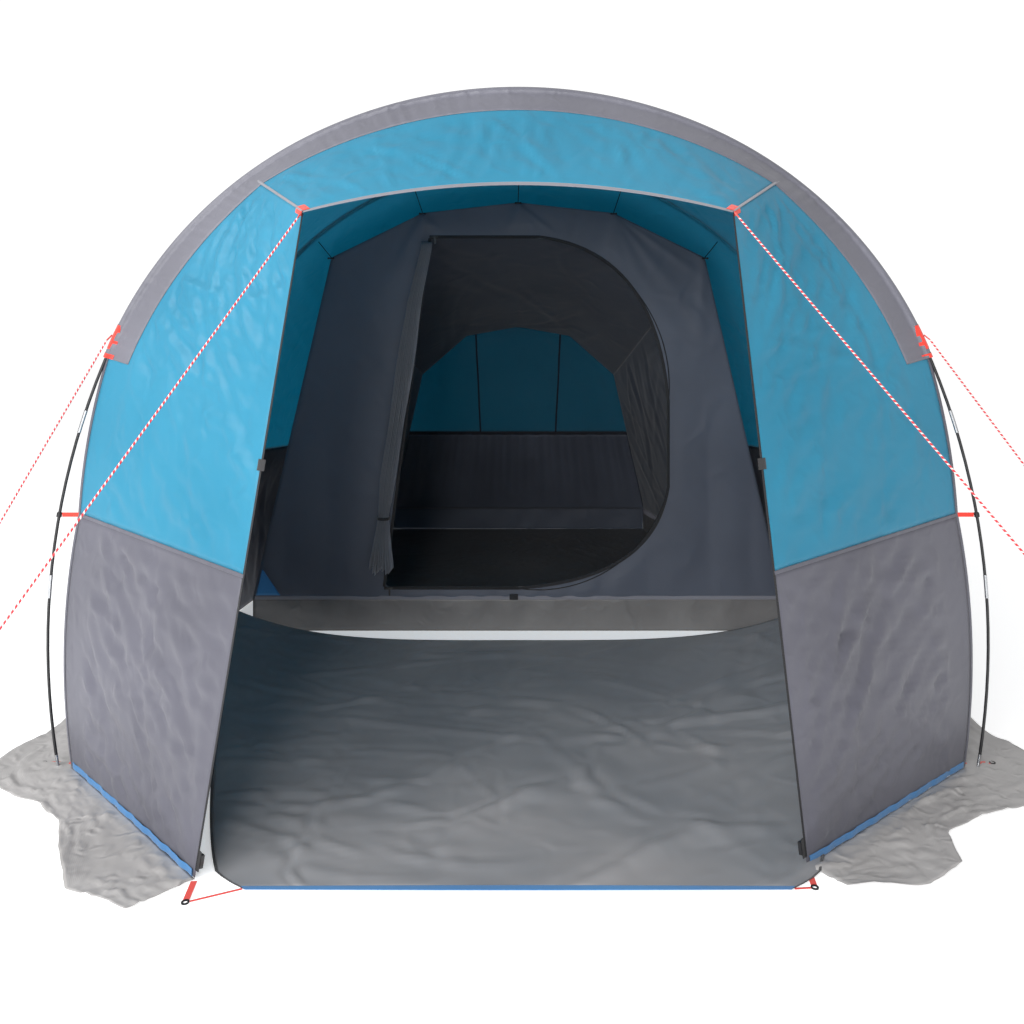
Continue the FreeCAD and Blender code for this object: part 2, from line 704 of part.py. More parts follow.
# ---------------------------------------------------------------- front zips
def zip_frame(side):
    """Placement with Z up the zip line, X from the wing into the doorway, Y outward."""
    low, high = corner(side), peak(side)
    up = unit(high - low)
    into = unit(low - fly_point(FRONT, side, K_BASE, 0)) + unit(
        high - fly_point(FRONT, side, K_SEAM_S, 0))
    into = unit(into - up * into.dot(up))
    out = up.cross(into)
    frame = FreeCAD.Matrix(into.x, out.x, up.x, low.x, into.y, out.y, up.y, low.y,
                           into.z, out.z, up.z, low.z, 0, 0, 0, 1)
    return FreeCAD.Placement(frame), (high - low).Length


def solid_group(label, items):
    """Join document objects that form one sub-part without fusing them."""
    group = doc.addObject("Part::Compound", label)
    group.Links = items
    return keep(group, label)


TAPE_END = 6.0
for name, side in (("left", -1), ("right", 1)):
    place, zip_length = zip_frame(side)
    tape = doc.addObject("Part::Box", "tape_" + name)
    bind(tape, Length="sizes.tape_width", Width="sizes.tape_thickness")
    tape.Height = zip_length - 2 * TAPE_END
    local = FreeCAD.Placement(V(LIFT + 0.4, -size("tape_thickness") / 2, TAPE_END),
                              FreeCAD.Rotation())
    tape.Placement = place.multiply(local)
    coil = doc.addObject("Part::Cylinder", "coil_" + name)
    bind(coil, Radius="sizes.coil_radius")
    coil.Height = zip_length - 2 * TAPE_END
    reach = LIFT + 0.4 + size("tape_width") + size("coil_radius") + LIFT
    coil.Placement = place.multiply(FreeCAD.Placement(V(reach, 0, TAPE_END), FreeCAD.Rotation()))
    solid_group("front_zip_" + name, [tape, coil])

    # slider: a block with a bore for the coil and a slot for the tape
    rest = TAPE_END + 26
    block = doc.addObject("Part::Box", "slider_block_" + name)
    bind(block, Length="sizes.slider_width", Width="sizes.slider_depth",
         Height="sizes.slider_length")
    across_block = FreeCAD.Placement(V(reach - size("slider_width") / 2,
                                       -size("slider_depth") / 2, rest), FreeCAD.Rotation())
    block.Placement = place.multiply(across_block)
    bore = doc.addObject("Part::Cylinder", "slider_bore_" + name)
    bind(bore, Radius="sizes.coil_radius + sizes.slider_clearance",
         Height="sizes.slider_length + 4")
    bore.Placement = place.multiply(FreeCAD.Placement(V(reach, 0, rest - 2), FreeCAD.Rotation()))
    slot = doc.addObject("Part::Box", "slider_slot_" + name)
    bind(slot, Length="sizes.slider_width", Width="sizes.tape_thickness + 2 * sizes.slider_clearance",
         Height="sizes.slider_length + 4")
    half_slot = size("tape_thickness") / 2 + size("slider_clearance")
    slot.Placement = place.multiply(FreeCAD.Placement(
        V(reach - size("slider_width"), -half_slot, rest - 2), FreeCAD.Rotation()))
    tool = doc.addObject("Part::Fuse", "slider_tool_" + name)
    tool.Base, tool.Tool = bore, slot
    body = doc.addObject("Part::Cut", "slider_body_" + name)
    body.Base, body.Tool = block, tool
    pull = doc.addObject("Part::Box", "slider_pull_" + name)
    bind(pull, Length="sizes.slider_width - 3", Width="2.4", Height="sizes.pull_length")
    outward_y = size("slider_depth") / 2 + LIFT if side > 0 else -size("slider_depth") / 2 - 2.7
    pull.Placement = place.multiply(FreeCAD.Placement(
        V(reach - size("slider_width") / 2 + 1.5, outward_y, rest - 8), FreeCAD.Rotation()))
    solid_group("front_slider_" + name, [body, pull])
    axis = unit(peak(side) - corner(side))
    print("front zip %s: axis %.5f %.5f %.5f, free run %.0f"
          % (name, axis.x, axis.y, axis.z, zip_length - TAPE_END - rest - size("pull_length")))


# ---------------------------------------------------------------- rolled front door
def roll_point(column, depth):
    side, k = column
    return porch_point(side, k, 0.58, FABRIC + LIFT + depth)


roll_reach = size("door_roll_radius") / 0.72 + 1.5
roll_ks = [(-1, 3.2), (-1, 2.2), (-1, 1.1), (1, 0), (1, 1.1), (1, 2.2), (1, 3.2)]
roll_line = [roll_point(c, roll_reach) for c in roll_ks]
rings = []
for i, spot in enumerate(roll_line):
    before, after = roll_line[max(i - 1, 0)], roll_line[min(i + 1, len(roll_line) - 1)]
    rings.append(Part.Wire([Part.makeCircle(size("door_roll_radius"), spot, after - before)]))
feature("front_door_roll", [Part.makeLoft(rings, True, False)])
ties = []
for side, k in ((-1, 2.6), (1, 0), (1, 2.6)):
    top = roll_point((side, k), 2.4)
    middle = roll_point((side, k), roll_reach)
    way = unit(middle - top)
    stop = middle - way * (size("door_roll_radius") + 2 * LIFT)
    if (stop - top).Length > 2:
        ties.append(Part.makeCylinder(2.5, (stop - top).Length, top, way))

# ---------------------------------------------------------------- inner tent
INNER_Y = MIDDLE_Y + size("inner_setback")
inner_front = [(size("inner_half_floor"), size("tub_height")),
               (size("eave_half"), size("eave_height")),
               (size("ridge_half"), size("ridge_height")), (0.0, size("inner_height"))]
inner_rear = [(size("inner_half_floor_rear"), size("tub_height")),
              (size("rear_eave_half"), size("rear_eave_height")),
              (size("rear_ridge_half"), size("rear_ridge_height")),
              (0.0, size("inner_rear_height"))]


def inner_back(z):
    """How far back the slanted inner rear wall is at height z."""
    return (INNER_Y + size("inner_depth")
            + size("inner_rear_slant") * (1 - z / size("inner_rear_height")))


def inner_profile(line, side, g, depth):
    """Point on a cross-section's straight facets, g from 0 at the floor to 3 at the top."""
    low = min(int(g), 2)
    (x0, z0), (x1, z1) = line[low], line[low + 1]
    x, z = x0 + (x1 - x0) * (g - low), z0 + (z1 - z0) * (g - low)
    return side * (x - depth * min(1.0, x / 300.0) * 0.8), z - depth * (0.5 if g > 0.9 else 0.0)


def inner_point(side, g, share, depth):
    x0, z0 = inner_profile(inner_front, side, g, depth)
    x1, z1 = inner_profile(inner_rear, side, g, depth)
    start = V(x0, INNER_Y + FABRIC + LIFT, z0)
    end = V(x1, inner_back(z1) - LIFT - FABRIC, z1)
    return mix(start, end, share)


for name, side in (("left", -1), ("right", 1)):
    shape = panel(lambda g, s, d: inner_point(side, g, s, d), [0.002, 0.5, 0.999], [0, 0.5, 1])
    feature("inner_side_" + name, [shape])
ceiling_columns = [(-1, 1.001), (-1, 2), (1, 3), (1, 2), (1, 1.001)]
feature("inner_ceiling",
        [panel(lambda c, s, d: inner_point(c[0], c[1], s, d), ceiling_columns, [0, 0.5, 1])])


def rear_wall_point(column, g, depth):
    side, share = column
    x, z = inner_profile(inner_rear, 1, g, 0)
    return V(side * x * share, inner_back(z) - depth, z)


g_split = (size("rear_seam_height") - size("tub_height")) / (
    size("rear_eave_height") - size("tub_height"))
wide_columns = [(-1, 1.0), (-1, 0.5), (1, 0.0), (1, 0.5), (1, 1.0)]
feature("inner_rear_wall", [panel(rear_wall_point, wide_columns, [0.002, g_split - 0.001])])
feature("inner_rear_mesh", [panel(rear_wall_point, wide_columns,
                                  [g_split + 0.001, 1.0, 2.0, 2.97])])

# floor: a tub of heavy sheet with upturned edges
half_front, half_rear = size("inner_half_floor"), size("inner_half_floor_rear")
tub = size("tub_height")


def tub_line(share):
    """Half of the floor's width, and its place from front to rear."""
    return (half_front + (half_rear - half_front) * share,
            INNER_Y + FABRIC + LIFT + (inner_back(0) - INNER_Y - 2 * FABRIC - 2 * LIFT) * share)


def tub_bottom(u, share, depth):
    half, y = tub_line(share)
    return V(u * half, y, FABRIC - depth)


def tub_side(side, height, share, depth):
    half, y = tub_line(share)
    return V(side * (half - depth), y, height)


tub_rows, tub_walls = [0.0, 0.5, 1.0], [FABRIC + SEAM, tub]
tub_parts = [panel(tub_bottom, [-1.0, 0.0, 1.0], tub_rows)]
for side in (-1, 1):
    tub_parts.append(panel(lambda z, s, d: tub_side(side, z, s, d), tub_walls, tub_rows))
front_sill = Part.makeBox(2 * half_front, FABRIC, tub, V(-half_front, INNER_Y, 0))
rear_sill = Part.makeBox(2 * half_rear, FABRIC, tub,
                         V(-half_rear, inner_back(0) - FABRIC + LIFT, 0))
feature("inner_floor", tub_parts + [front_sill, rear_sill])

# front wall: a flat panel with a D-shaped doorway
DOOR_LOW, DOOR_TOP = 210.0, 1850.0
DOOR_LEFT_TOP, DOOR_LEFT_LOW = -410.0, -624.0
DOOR_RIGHT, DOOR_BEND_TOP, DOOR_BEND_LOW = 700.0, 100.0, 0.0
DOOR_SIDE_TOP, DOOR_SIDE_LOW = 1080.0, 680.0


def door_edges(grow, y):
    """The zip's path around the doorway, from the lower left to the upper left."""
    low, top, right = DOOR_LOW - grow, DOOR_TOP + grow, DOOR_RIGHT + grow

    def at(x, z):
        return V(x, y, z)

    def quarter(x0, z0, x1, z1, share):
        """Middle point of a quarter round between two tangent lines."""
        return at(x0 + (x1 - x0) * share[0], z0 + (z1 - z0) * share[1])

    lower = quarter(DOOR_BEND_LOW, low, right, DOOR_SIDE_LOW, (0.707, 0.293))
    upper = quarter(right, DOOR_SIDE_TOP, DOOR_BEND_TOP, top, (0.293, 0.707))
    a, b = at(DOOR_LEFT_LOW - grow * 0.9, low), at(DOOR_BEND_LOW, low)
    c, d = at(right, DOOR_SIDE_LOW), at(right, DOOR_SIDE_TOP)
    e, f = at(DOOR_BEND_TOP, top), at(DOOR_LEFT_TOP - grow, top)
    return [Part.LineSegment(a, b).toShape(), Part.Arc(b, lower, c).toShape(),
            Part.LineSegment(c, d).toShape(), Part.Arc(d, upper, e).toShape(),
            Part.LineSegment(e, f).toShape()], a, f


def plan_body(label):
    """Body with a sketch on its XZ plane."""
    body = doc.addObject("PartDesign::Body", label)
    doc.recompute()
    flat = [item for item in body.Origin.OriginFeatures if item.Role == "XZ_Plane"][0]
    return body, flat


def wall_sketch(body, flat, name, edges):
    outline = body.newObject("Sketcher::SketchObject", name)
    outline.AttachmentSupport = (flat, [""])
    outline.MapMode = "FlatFace"
    doc.recompute()
    back = outline.Placement.inverse()
    for edge in edges:
        flat_edge = edge.copy()
        flat_edge.transformShape(back.toMatrix())
        ends = [flat_edge.valueAt(flat_edge.FirstParameter),
                flat_edge.valueAt(flat_edge.LastParameter)]
        if isinstance(flat_edge.Curve, Part.Circle):
            halfway = (flat_edge.FirstParameter + flat_edge.LastParameter) / 2
            outline.addGeometry(Part.Arc(ends[0], flat_edge.valueAt(halfway), ends[1]), False)
        else:
            outline.addGeometry(Part.LineSegment(ends[0], ends[1]), False)
    return outline


wall_body, flat_plane = plan_body("inner_front_wall")
rim = [V(-x, 0, z) for x, z in inner_front] + [V(x, 0, z) for x, z in reversed(inner_front[:-1])]
rim = [V(p.x, 0, max(p.z, tub + LIFT)) for p in rim]
rim_edges = [Part.LineSegment(p, q).toShape() for p, q in zip(rim, rim[1:] + rim[:1])]
rim_sketch = wall_sketch(wall_body, flat_plane, "wall_outline", rim_edges)
wall_pad = wall_body.newObject("PartDesign::Pad", "wall_pad")
wall_pad.Profile = rim_sketch
bind(wall_pad, Length="sizes.fabric")
wall_pad.Reversed = True
door_path, door_start, door_end = door_edges(0.0, 0.0)
door_path.append(Part.LineSegment(door_end, door_start).toShape())
door_sketch = wall_sketch(wall_body, flat_plane, "door_outline", door_path)
door_cut = wall_body.newObject("PartDesign::Pocket", "door_opening")
door_cut.Profile = door_sketch
door_cut.Type = 1
door_cut.Midplane = True
wall_body.Tip = door_cut
doc.recompute()
keep(wall_body, "inner_front_wall")
wall_body.Placement = FreeCAD.Placement(V(0, INNER_Y, 0), FreeCAD.Rotation())

zip_r = size("inner_zip_radius")
zip_y = INNER_Y - zip_r - LIFT
zip_path, zip_start, zip_end = door_edges(8.0, zip_y)
ring = Part.Wire([Part.makeCircle(zip_r, zip_start, V(1, 0, 0))])
feature("inner_zip", [Part.Wire(zip_path).makePipeShell([ring], True, False)])


def inner_slider(label, spot):
    """Slider on the straight stretch of the inner door's zip, with its pull."""
    wide = 4 * zip_r
    block = doc.addObject("Part::Box", label + "_block")
    bind(block, Length="sizes.inner_slider_length", Width="2 * sizes.inner_zip_radius + 3",
         Height="4 * sizes.inner_zip_radius")
    block.Placement = FreeCAD.Placement(V(spot.x, spot.y - zip_r - 3 + 0.1, spot.z - wide / 2),
                                        FreeCAD.Rotation())
    bore = doc.addObject("Part::Cylinder", label + "_bore")
    bind(bore, Radius="sizes.inner_zip_radius + sizes.fit_gap * 2",
         Height="sizes.inner_slider_length + 4")
    bore.Placement = FreeCAD.Placement(V(spot.x - 2, spot.y, spot.z),
                                       FreeCAD.Rotation(V(0, 1, 0), 90))
    body = doc.addObject("Part::Cut", label + "_body")
    body.Base, body.Tool = block, bore
    pull = doc.addObject("Part::Box", label + "_pull")
    bind(pull, Length="8", Width="2", Height="34")
    pull.Placement = FreeCAD.Placement(V(spot.x + 9, spot.y - zip_r - 5.2, spot.z - 32),
                                       FreeCAD.Rotation())
    solid_group(label, [body, pull])


inner_slider("inner_slider_low", zip_start + V(14, 0, 0))
inner_slider("inner_slider_high", zip_end + V(14, 0, 0))

# inner door, gathered against the wall at its hinge side: centre (x, z) and radius
GATHER = [((-430, 1800), 24), ((-482, 1560), 36), ((-552, 1090), 40), ((-610, 716), 34),
          ((-630, 538), 26), ((-636, 330), 58)]
rings = []
for (x, z), radius in GATHER:
    back = INNER_Y - radius - 2 * LIFT
    rings.append(Part.Wire([Part.makeCircle(radius, V(x, back, z), V(0.12, 0, 1))]))
feature("inner_door_roll", [Part.makeLoft(rings, True, False)])
(tie_x, tie_z), tie_radius = GATHER[4]
tie_y = INNER_Y - 2 * tie_radius - 2 * LIFT - 1.0 - LIFT
ties.append(strap(V(tie_x - 22, tie_y, tie_z), V(tie_x + 22, tie_y, tie_z), V(0, 0, 1), 2.0, 12))
feature("door_ties", ties)


# ---------------------------------------------------------------- hangers of the inner tent
REAR_ROOF = [item for item in NODES if item.Label == "fly_roof_rear"][0].Shape


def nearest_fly(spot):
    """Nearest point on the inside of the rear roof, where a hanger meets it square."""
    return REAR_ROOF.distToShape(Part.Vertex(spot))[1][0][0]


HANGER_GAP = 0.5
REAR_HANGER_SHARE = 0.93
hangers = []
for line in (inner_front, inner_rear):
    for x, z in line[1:]:
        for side in ((-1, 1) if x else (1,)):
            if line is inner_rear:
                spot = inner_point(side, line.index((x, z)), REAR_HANGER_SHARE, 0.0)
            else:
                spot = V(side * x, INNER_Y + 1, z)
            target = nearest_fly(spot)
            way = unit(target - spot)
            start = spot + way * HANGER_GAP
            length = (target - start).Length - HANGER_GAP
            hangers.append(Part.makeCylinder(size("hanger_radius"), length, start, way))
feature("inner_hangers", hangers)

# ---------------------------------------------------------------- vestibule groundsheet
sheet_rows = [0.0, 0.12, 0.35, 0.6, 0.8, 1.0]


def sheet_point(u, share, depth):
    front_y, back_y = -size("sheet_front"), size("sheet_rear")
    y = front_y + (back_y - front_y) * share
    half = size("sheet_front_half") + (size("sheet_rear_half") - size("sheet_front_half")) * (
        share ** 0.85)
    return V(u * half, y, FABRIC - depth + size("sheet_lift") * abs(u) ** 4 * share ** 1.6)


feature("vestibule_groundsheet",
        [panel(sheet_point, even(-1.0, 1.0, 10), sheet_rows)])

# ---------------------------------------------------------------- clips, webbing and eyelets
clips, webs = [], []
clip_in = pole + size("fit_gap") * 2
for name, hoop in HOOPS:
    seam = hoop.stations[K_SEAM][1]
    run = hoop.run_at_height(seam)
    x, z = hoop.at(run)
    above = hoop.at(run - 1)
    for side in (-1, 1):
        way = unit(V(side * (above[0] - x), 0, above[1] - z))
        centre = V(side * x, hoop.y, z)
        low = centre - way * (size("clip_height") / 2)
        ring = Part.makeCylinder(clip_in + size("clip_wall"), size("clip_height"), low, way)
        hole = Part.makeCylinder(clip_in, size("clip_height") + 4, low - way * 2, way)
        clip = ring.cut(hole)
        mouth = strap(centre - way * 20, centre + way * 20, V(0, 1, 0), 3 * clip_in, 1.1 * pole)
        mouth.translate(V(side * 1.5 * clip_in, 0, 0))
        clips.append(clip.cut(mouth))
        wall = fly_point(hoop, side, K_SEAM, 0.0)
        inner_end = V(wall.x + side * (LIFT + 1.0), hoop.y, z)
        outer_end = V(side * (x - clip_in - size("clip_wall") - LIFT - 1.3), hoop.y, z)
        webs.append(strap(inner_end, outer_end, V(0, 0, 1), size("web_thickness"), 14))
feature("pole_clips", clips)

ring_out = size("eyelet_bore") + size("eyelet_ring")
eyelet_cylinder = doc.addObject("Part::Cylinder", "eyelet_outer")
bind(eyelet_cylinder, Radius="sizes.eyelet_bore + sizes.eyelet_ring",
     Height="sizes.eyelet_thickness")
eyelet_hole = doc.addObject("Part::Cylinder", "eyelet_hole")
bind(eyelet_hole, Radius="sizes.eyelet_bore", Height="sizes.eyelet_thickness")
eyelet = doc.addObject("Part::Cut", "eyelet_master")
eyelet.Base, eyelet.Tool = eyelet_cylinder, eyelet_hole
doc.recompute()

eyelet_spots = []
for side in (-1, 1):
    foot = corner(side)
    eyelet_spots.append(("doorway", V(foot.x - side * 10, foot.y - 95, 0), foot, V(1, 0, 0)))
    for name, hoop in HOOPS:
        base = fly_point(hoop, side, K_BASE, 0.0)
        start = V(base.x, hoop.y + 24, 0)
        eyelet_spots.append((name, start + V(side * 105, 0, 0), start, V(0, 1, 0)))
    start = V(side * size("rear_corner"), REAR_Y + size("rear_reach"), 0)
    eyelet_spots.append(("rear corner", start + V(side * 30, 100, 0), start, V(1, 0, 0)))
eyelets = []
lift = size("skirt_fabric") + LIFT
for name, spot, start, side_way in eyelet_spots:
    ring = eyelet.Shape.copy()
    level = 0.0 if name == "doorway" else lift
    ring.translate(V(spot.x, spot.y, level))
    eyelets.append(ring)
    way = unit(V(spot.x - start.x, spot.y - start.y, 0))
    height = level + size("web_thickness") / 2 + LIFT
    near = V(start.x, start.y, height) + way * (9 if name == "doorway" else 3)
    far = V(spot.x, spot.y, height) - way * (ring_out + LIFT)
    webs.append(strap(near, far, side_way, size("web_thickness"), size("web_width") * 0.8))
    print("eyelet %s at %.2f, %.2f, %.2f" % (name, spot.x, spot.y, level))
feature("peg_eyelets", eyelets)

# ties from the groundsheet's front corners to the doorway's feet
TIE_WIDTH, TIE_THICKNESS = 6.0, 1.2
for side, start_gap in ((-1, 0.8), (1, 2.2)):
    spot = [place for name, place, start, way in eyelet_spots
            if name == "doorway" and place.x * side > 0][0]
    edge = V(side * size("sheet_front_half"), -size("sheet_front"), 1.0)
    way = unit(V(spot.x, spot.y, 1.0) - edge)
    far = V(spot.x, spot.y, 1.0) - way * (ring_out + LIFT)
    webs.append(strap(edge + way * start_gap, far, V(way.y, -way.x, 0), TIE_THICKNESS, TIE_WIDTH))

# ---------------------------------------------------------------- guys
# ground ends, from the middle and in front of the front hoop
GUYS = [("peak_left", -1, V(-1650, -1026, 0), 0.78), ("peak_right", 1, V(1860, -1010, 0), 0.80),
        ("shoulder_left", -1, V(-2000, -300, 0), 0.78), ("shoulder_right", 1, V(2150, -480, 0), 0.36)]
LOOP_STAND = 7.0
rope = size("rope_radius")
pegs = []
for name, side, ground, share in GUYS:
    if name.startswith("peak"):
        anchor = peak(side) + V(side * 2, -4, -2)
        stand = V(0, 0, 0)
    else:
        above = POLE_SEAT + crest(FRONT) + FABRIC * 0.75 + 3 * LIFT
        anchor = fly_point(FRONT, side, K_SLEEVE - 0.5, -above) + V(0, -3, 0)
        stand = fly_point(FRONT, side, K_SLEEVE - 0.5, -above - LOOP_STAND) - fly_point(
            FRONT, side, K_SLEEVE - 0.5, -above)
    target = ground + V(0, 0, size("peg_height") * 0.55)
    way = unit(target - anchor - stand)
    start = anchor + stand + way * size("loop_length")
    level_way = math.hypot(way.x, way.y)
    end = target - way * ((size("peg_radius") + LIFT + rope * abs(way.z)) / level_way)
    loop_way = unit(start - anchor)
    webs.append(strap(anchor + loop_way * 1.0, start - loop_way * 2 * LIFT, V(0, 1, 0),
                      size("web_thickness"), 12))
    feature("guy_" + name, [Part.makeCylinder(rope, (end - start).Length, start, way)])
    print("guy %s: %.1f,%.1f,%.1f to %.1f,%.1f,%.1f length %.0f"
          % (name, start.x, start.y, start.z, end.x, end.y, end.z, (end - start).Length))

    # runner: a block with a bore for the rope, cut back at its ends
    turn = FreeCAD.Rotation(V(0, 0, 1), way)
    spot = mix(start, end, share)
    bar = doc.addObject("Part::Box", "runner_bar_" + name)
    bind(bar, Length="sizes.runner_width", Width="sizes.runner_depth",
         Height="sizes.runner_length")
    centre = V(-size("runner_width") / 2, -size("runner_depth") / 2, 0)
    bar.Placement = FreeCAD.Placement(spot, turn).multiply(
        FreeCAD.Placement(centre, FreeCAD.Rotation()))
    round_bar = doc.addObject("Part::Fillet", "runner_round_" + name)
    doc.recompute()
    round_bar.Base = bar
    round_bar.Edges = [(index, 2.0, 2.0) for index in range(1, 13)]
    bore = doc.addObject("Part::Cylinder", "runner_bore_" + name)
    bind(bore, Radius="sizes.rope_radius + sizes.runner_clearance",
         Height="sizes.runner_length + 4")
    bore.Placement = FreeCAD.Placement(spot - way * 2, turn)
    runner = doc.addObject("Part::Cut", "runner_" + name)
    runner.Base, runner.Tool = round_bar, bore
    keep(runner, "runner_" + name)
    print("runner %s axis %.5f %.5f %.5f" % (name, way.x, way.y, way.z))

    shaft = Part.makeCylinder(size("peg_radius"), size("peg_height"), ground)
    hook = Part.makeBox(2 * size("peg_radius"), 18, 2 * size("peg_radius"),
                        ground + V(-size("peg_radius"), 0, size("peg_height")))
    pegs.append(shaft.fuse(hook).removeSplitter())
feature("guy_pegs", pegs)
feature("webbing", webs)

# ---------------------------------------------------------------- place, check and write
doc.recompute()
ON_CORD = ("guy_", "runner_")
box = FreeCAD.BoundBox()
for item in NODES:
    if not item.Label.startswith(ON_CORD):
        box.add(item.Shape.BoundBox)
shift = FreeCAD.Placement(V(-(box.XMin + box.XMax) / 2, -(box.YMin + box.YMax) / 2, 0),
                          FreeCAD.Rotation())
for item in NODES:
    item.Placement = shift.multiply(item.Placement)
doc.recompute()
for item in doc.Objects:
    if "Invalid" in item.State or "Error" in item.State:
        raise RuntimeError("%s failed: %s" % (item.Name, item.State))
for item in NODES:
    if item.Shape.isNull() or not item.Shape.isValid() or not item.Shape.Solids:
        raise RuntimeError("%s has no valid solid" % item.Label)
    if item.Shape.BoundBox.ZMin < -0.01:
        raise RuntimeError("%s reaches below the ground" % item.Label)
os.makedirs("parts", exist_ok=True)
for item in NODES:
    item.Shape.exportStep("parts/%s.step" % item.Label)
print("shift %.2f %.2f, tent box %.0f x %.0f x %.0f mm, %d sub-parts"
      % (shift.Base.x, shift.Base.y, box.XLength, box.YLength, box.ZLength, len(NODES)))
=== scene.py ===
# %% [markdown]
# # A tunnel tent with an open porch
# Three bent hoops carry a thin coated fly. In front of the first hoop the fly runs on as a porch
# with an awning and two wings, and an inner tent hangs behind the middle hoop. The lesson builds
# every panel of cloth as a surface of two numbers, in the place that the CAD model gives it.

# %% Load the CAD model
import bmesh
import bpy
import math
import numpy as np
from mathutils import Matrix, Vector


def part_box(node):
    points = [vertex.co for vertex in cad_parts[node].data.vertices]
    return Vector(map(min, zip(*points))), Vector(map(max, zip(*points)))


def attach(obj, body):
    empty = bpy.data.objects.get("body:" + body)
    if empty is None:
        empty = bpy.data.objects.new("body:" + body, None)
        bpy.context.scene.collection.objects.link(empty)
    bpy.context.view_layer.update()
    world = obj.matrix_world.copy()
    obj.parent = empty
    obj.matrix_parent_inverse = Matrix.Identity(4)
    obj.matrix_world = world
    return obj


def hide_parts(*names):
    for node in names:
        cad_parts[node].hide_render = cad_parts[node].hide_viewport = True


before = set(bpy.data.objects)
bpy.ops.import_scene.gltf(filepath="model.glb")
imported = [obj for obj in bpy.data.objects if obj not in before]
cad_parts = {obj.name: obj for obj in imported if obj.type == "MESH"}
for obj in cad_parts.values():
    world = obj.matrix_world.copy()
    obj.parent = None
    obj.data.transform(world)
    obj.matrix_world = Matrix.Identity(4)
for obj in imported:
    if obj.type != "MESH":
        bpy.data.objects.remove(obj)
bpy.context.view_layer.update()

# %% [markdown]
# ## Camera
# The viewer stands in front of the doorway and looks level towards the rear. A level camera keeps
# the poles' verticals upright; the lens is shifted down to take in the ground.

# %% Camera
camera_data = bpy.data.cameras.new("camera")
camera_data.lens, camera_data.sensor_width = 31.85, 36.0
camera_data.shift_x, camera_data.shift_y = -0.0059, -0.178
camera = bpy.data.objects.new("camera", camera_data)
bpy.context.scene.collection.objects.link(camera)
camera.location, camera.rotation_euler = (-0.005, -4.566, 1.42), (math.radians(90), 0, 0)
bpy.context.scene.camera = camera
bpy.context.scene.view_settings.view_transform = "Standard"
print("camera at", tuple(round(v, 3) for v in camera.location))

# %% [markdown]
# ## Colours and nodes
# Colours are written as people read them off a swatch, in sRGB. Light adds up linearly, so one
# function turns each into linear values. Another adds a shader node with its settings and links.

# %% Colour and node helpers
def colour(text):
    """sRGB hex to linear red, green, blue and 1."""
    parts = [int(text[i:i + 2], 16) / 255 for i in (1, 3, 5)]
    linear = [c / 12.92 if c <= 0.04045 else ((c + 0.055) / 1.055) ** 2.4 for c in parts]
    return (*linear, 1.0)


def add(tree, kind, settings=None, **inputs):
    """Add a node; inputs are numbers, colours or other nodes' sockets."""
    item = tree.nodes.new("ShaderNode" + kind)
    for key, value in (settings or {}).items():
        setattr(item, key, value)
    for key, value in inputs.items():
        numbered = key[1:].isdigit()
        socket = item.inputs[int(key[1:]) if numbered else key.replace("_", " ")]
        if isinstance(value, bpy.types.NodeSocket):
            tree.links.new(value, socket)
        else:
            socket.default_value = value
    return item


def new_material(name):
    material = bpy.data.materials.new(name)
    material.use_nodes = True
    material.node_tree.nodes.clear()
    return material, material.node_tree


def ramp(tree, factor, low, high, first=0.3, last=0.7):
    """Colour between two swatches, by a factor."""
    item = add(tree, "ValToRGB", Fac=factor)
    item.color_ramp.elements[0].position, item.color_ramp.elements[1].position = first, last
    item.color_ramp.elements[0].color, item.color_ramp.elements[1].color = colour(low), colour(high)
    return item.outputs["Color"]


def waves(period):
    """Scale of a Wave texture whose bands are a period apart, in metres."""
    return 2 * math.pi / (20 * period)


# %% [markdown]
# ## Cloth
# All of the tent's cloth is woven from fine filament and then coated. The eye sees a soft gloss,
# small crumples a hand wide from having been packed, and light that comes through. The threads
# are 0.2 mm apart, too fine to show, so the weave is drawn at 3 mm. Cloth that lets light through
# is a Principled surface mixed with a Translucent one.

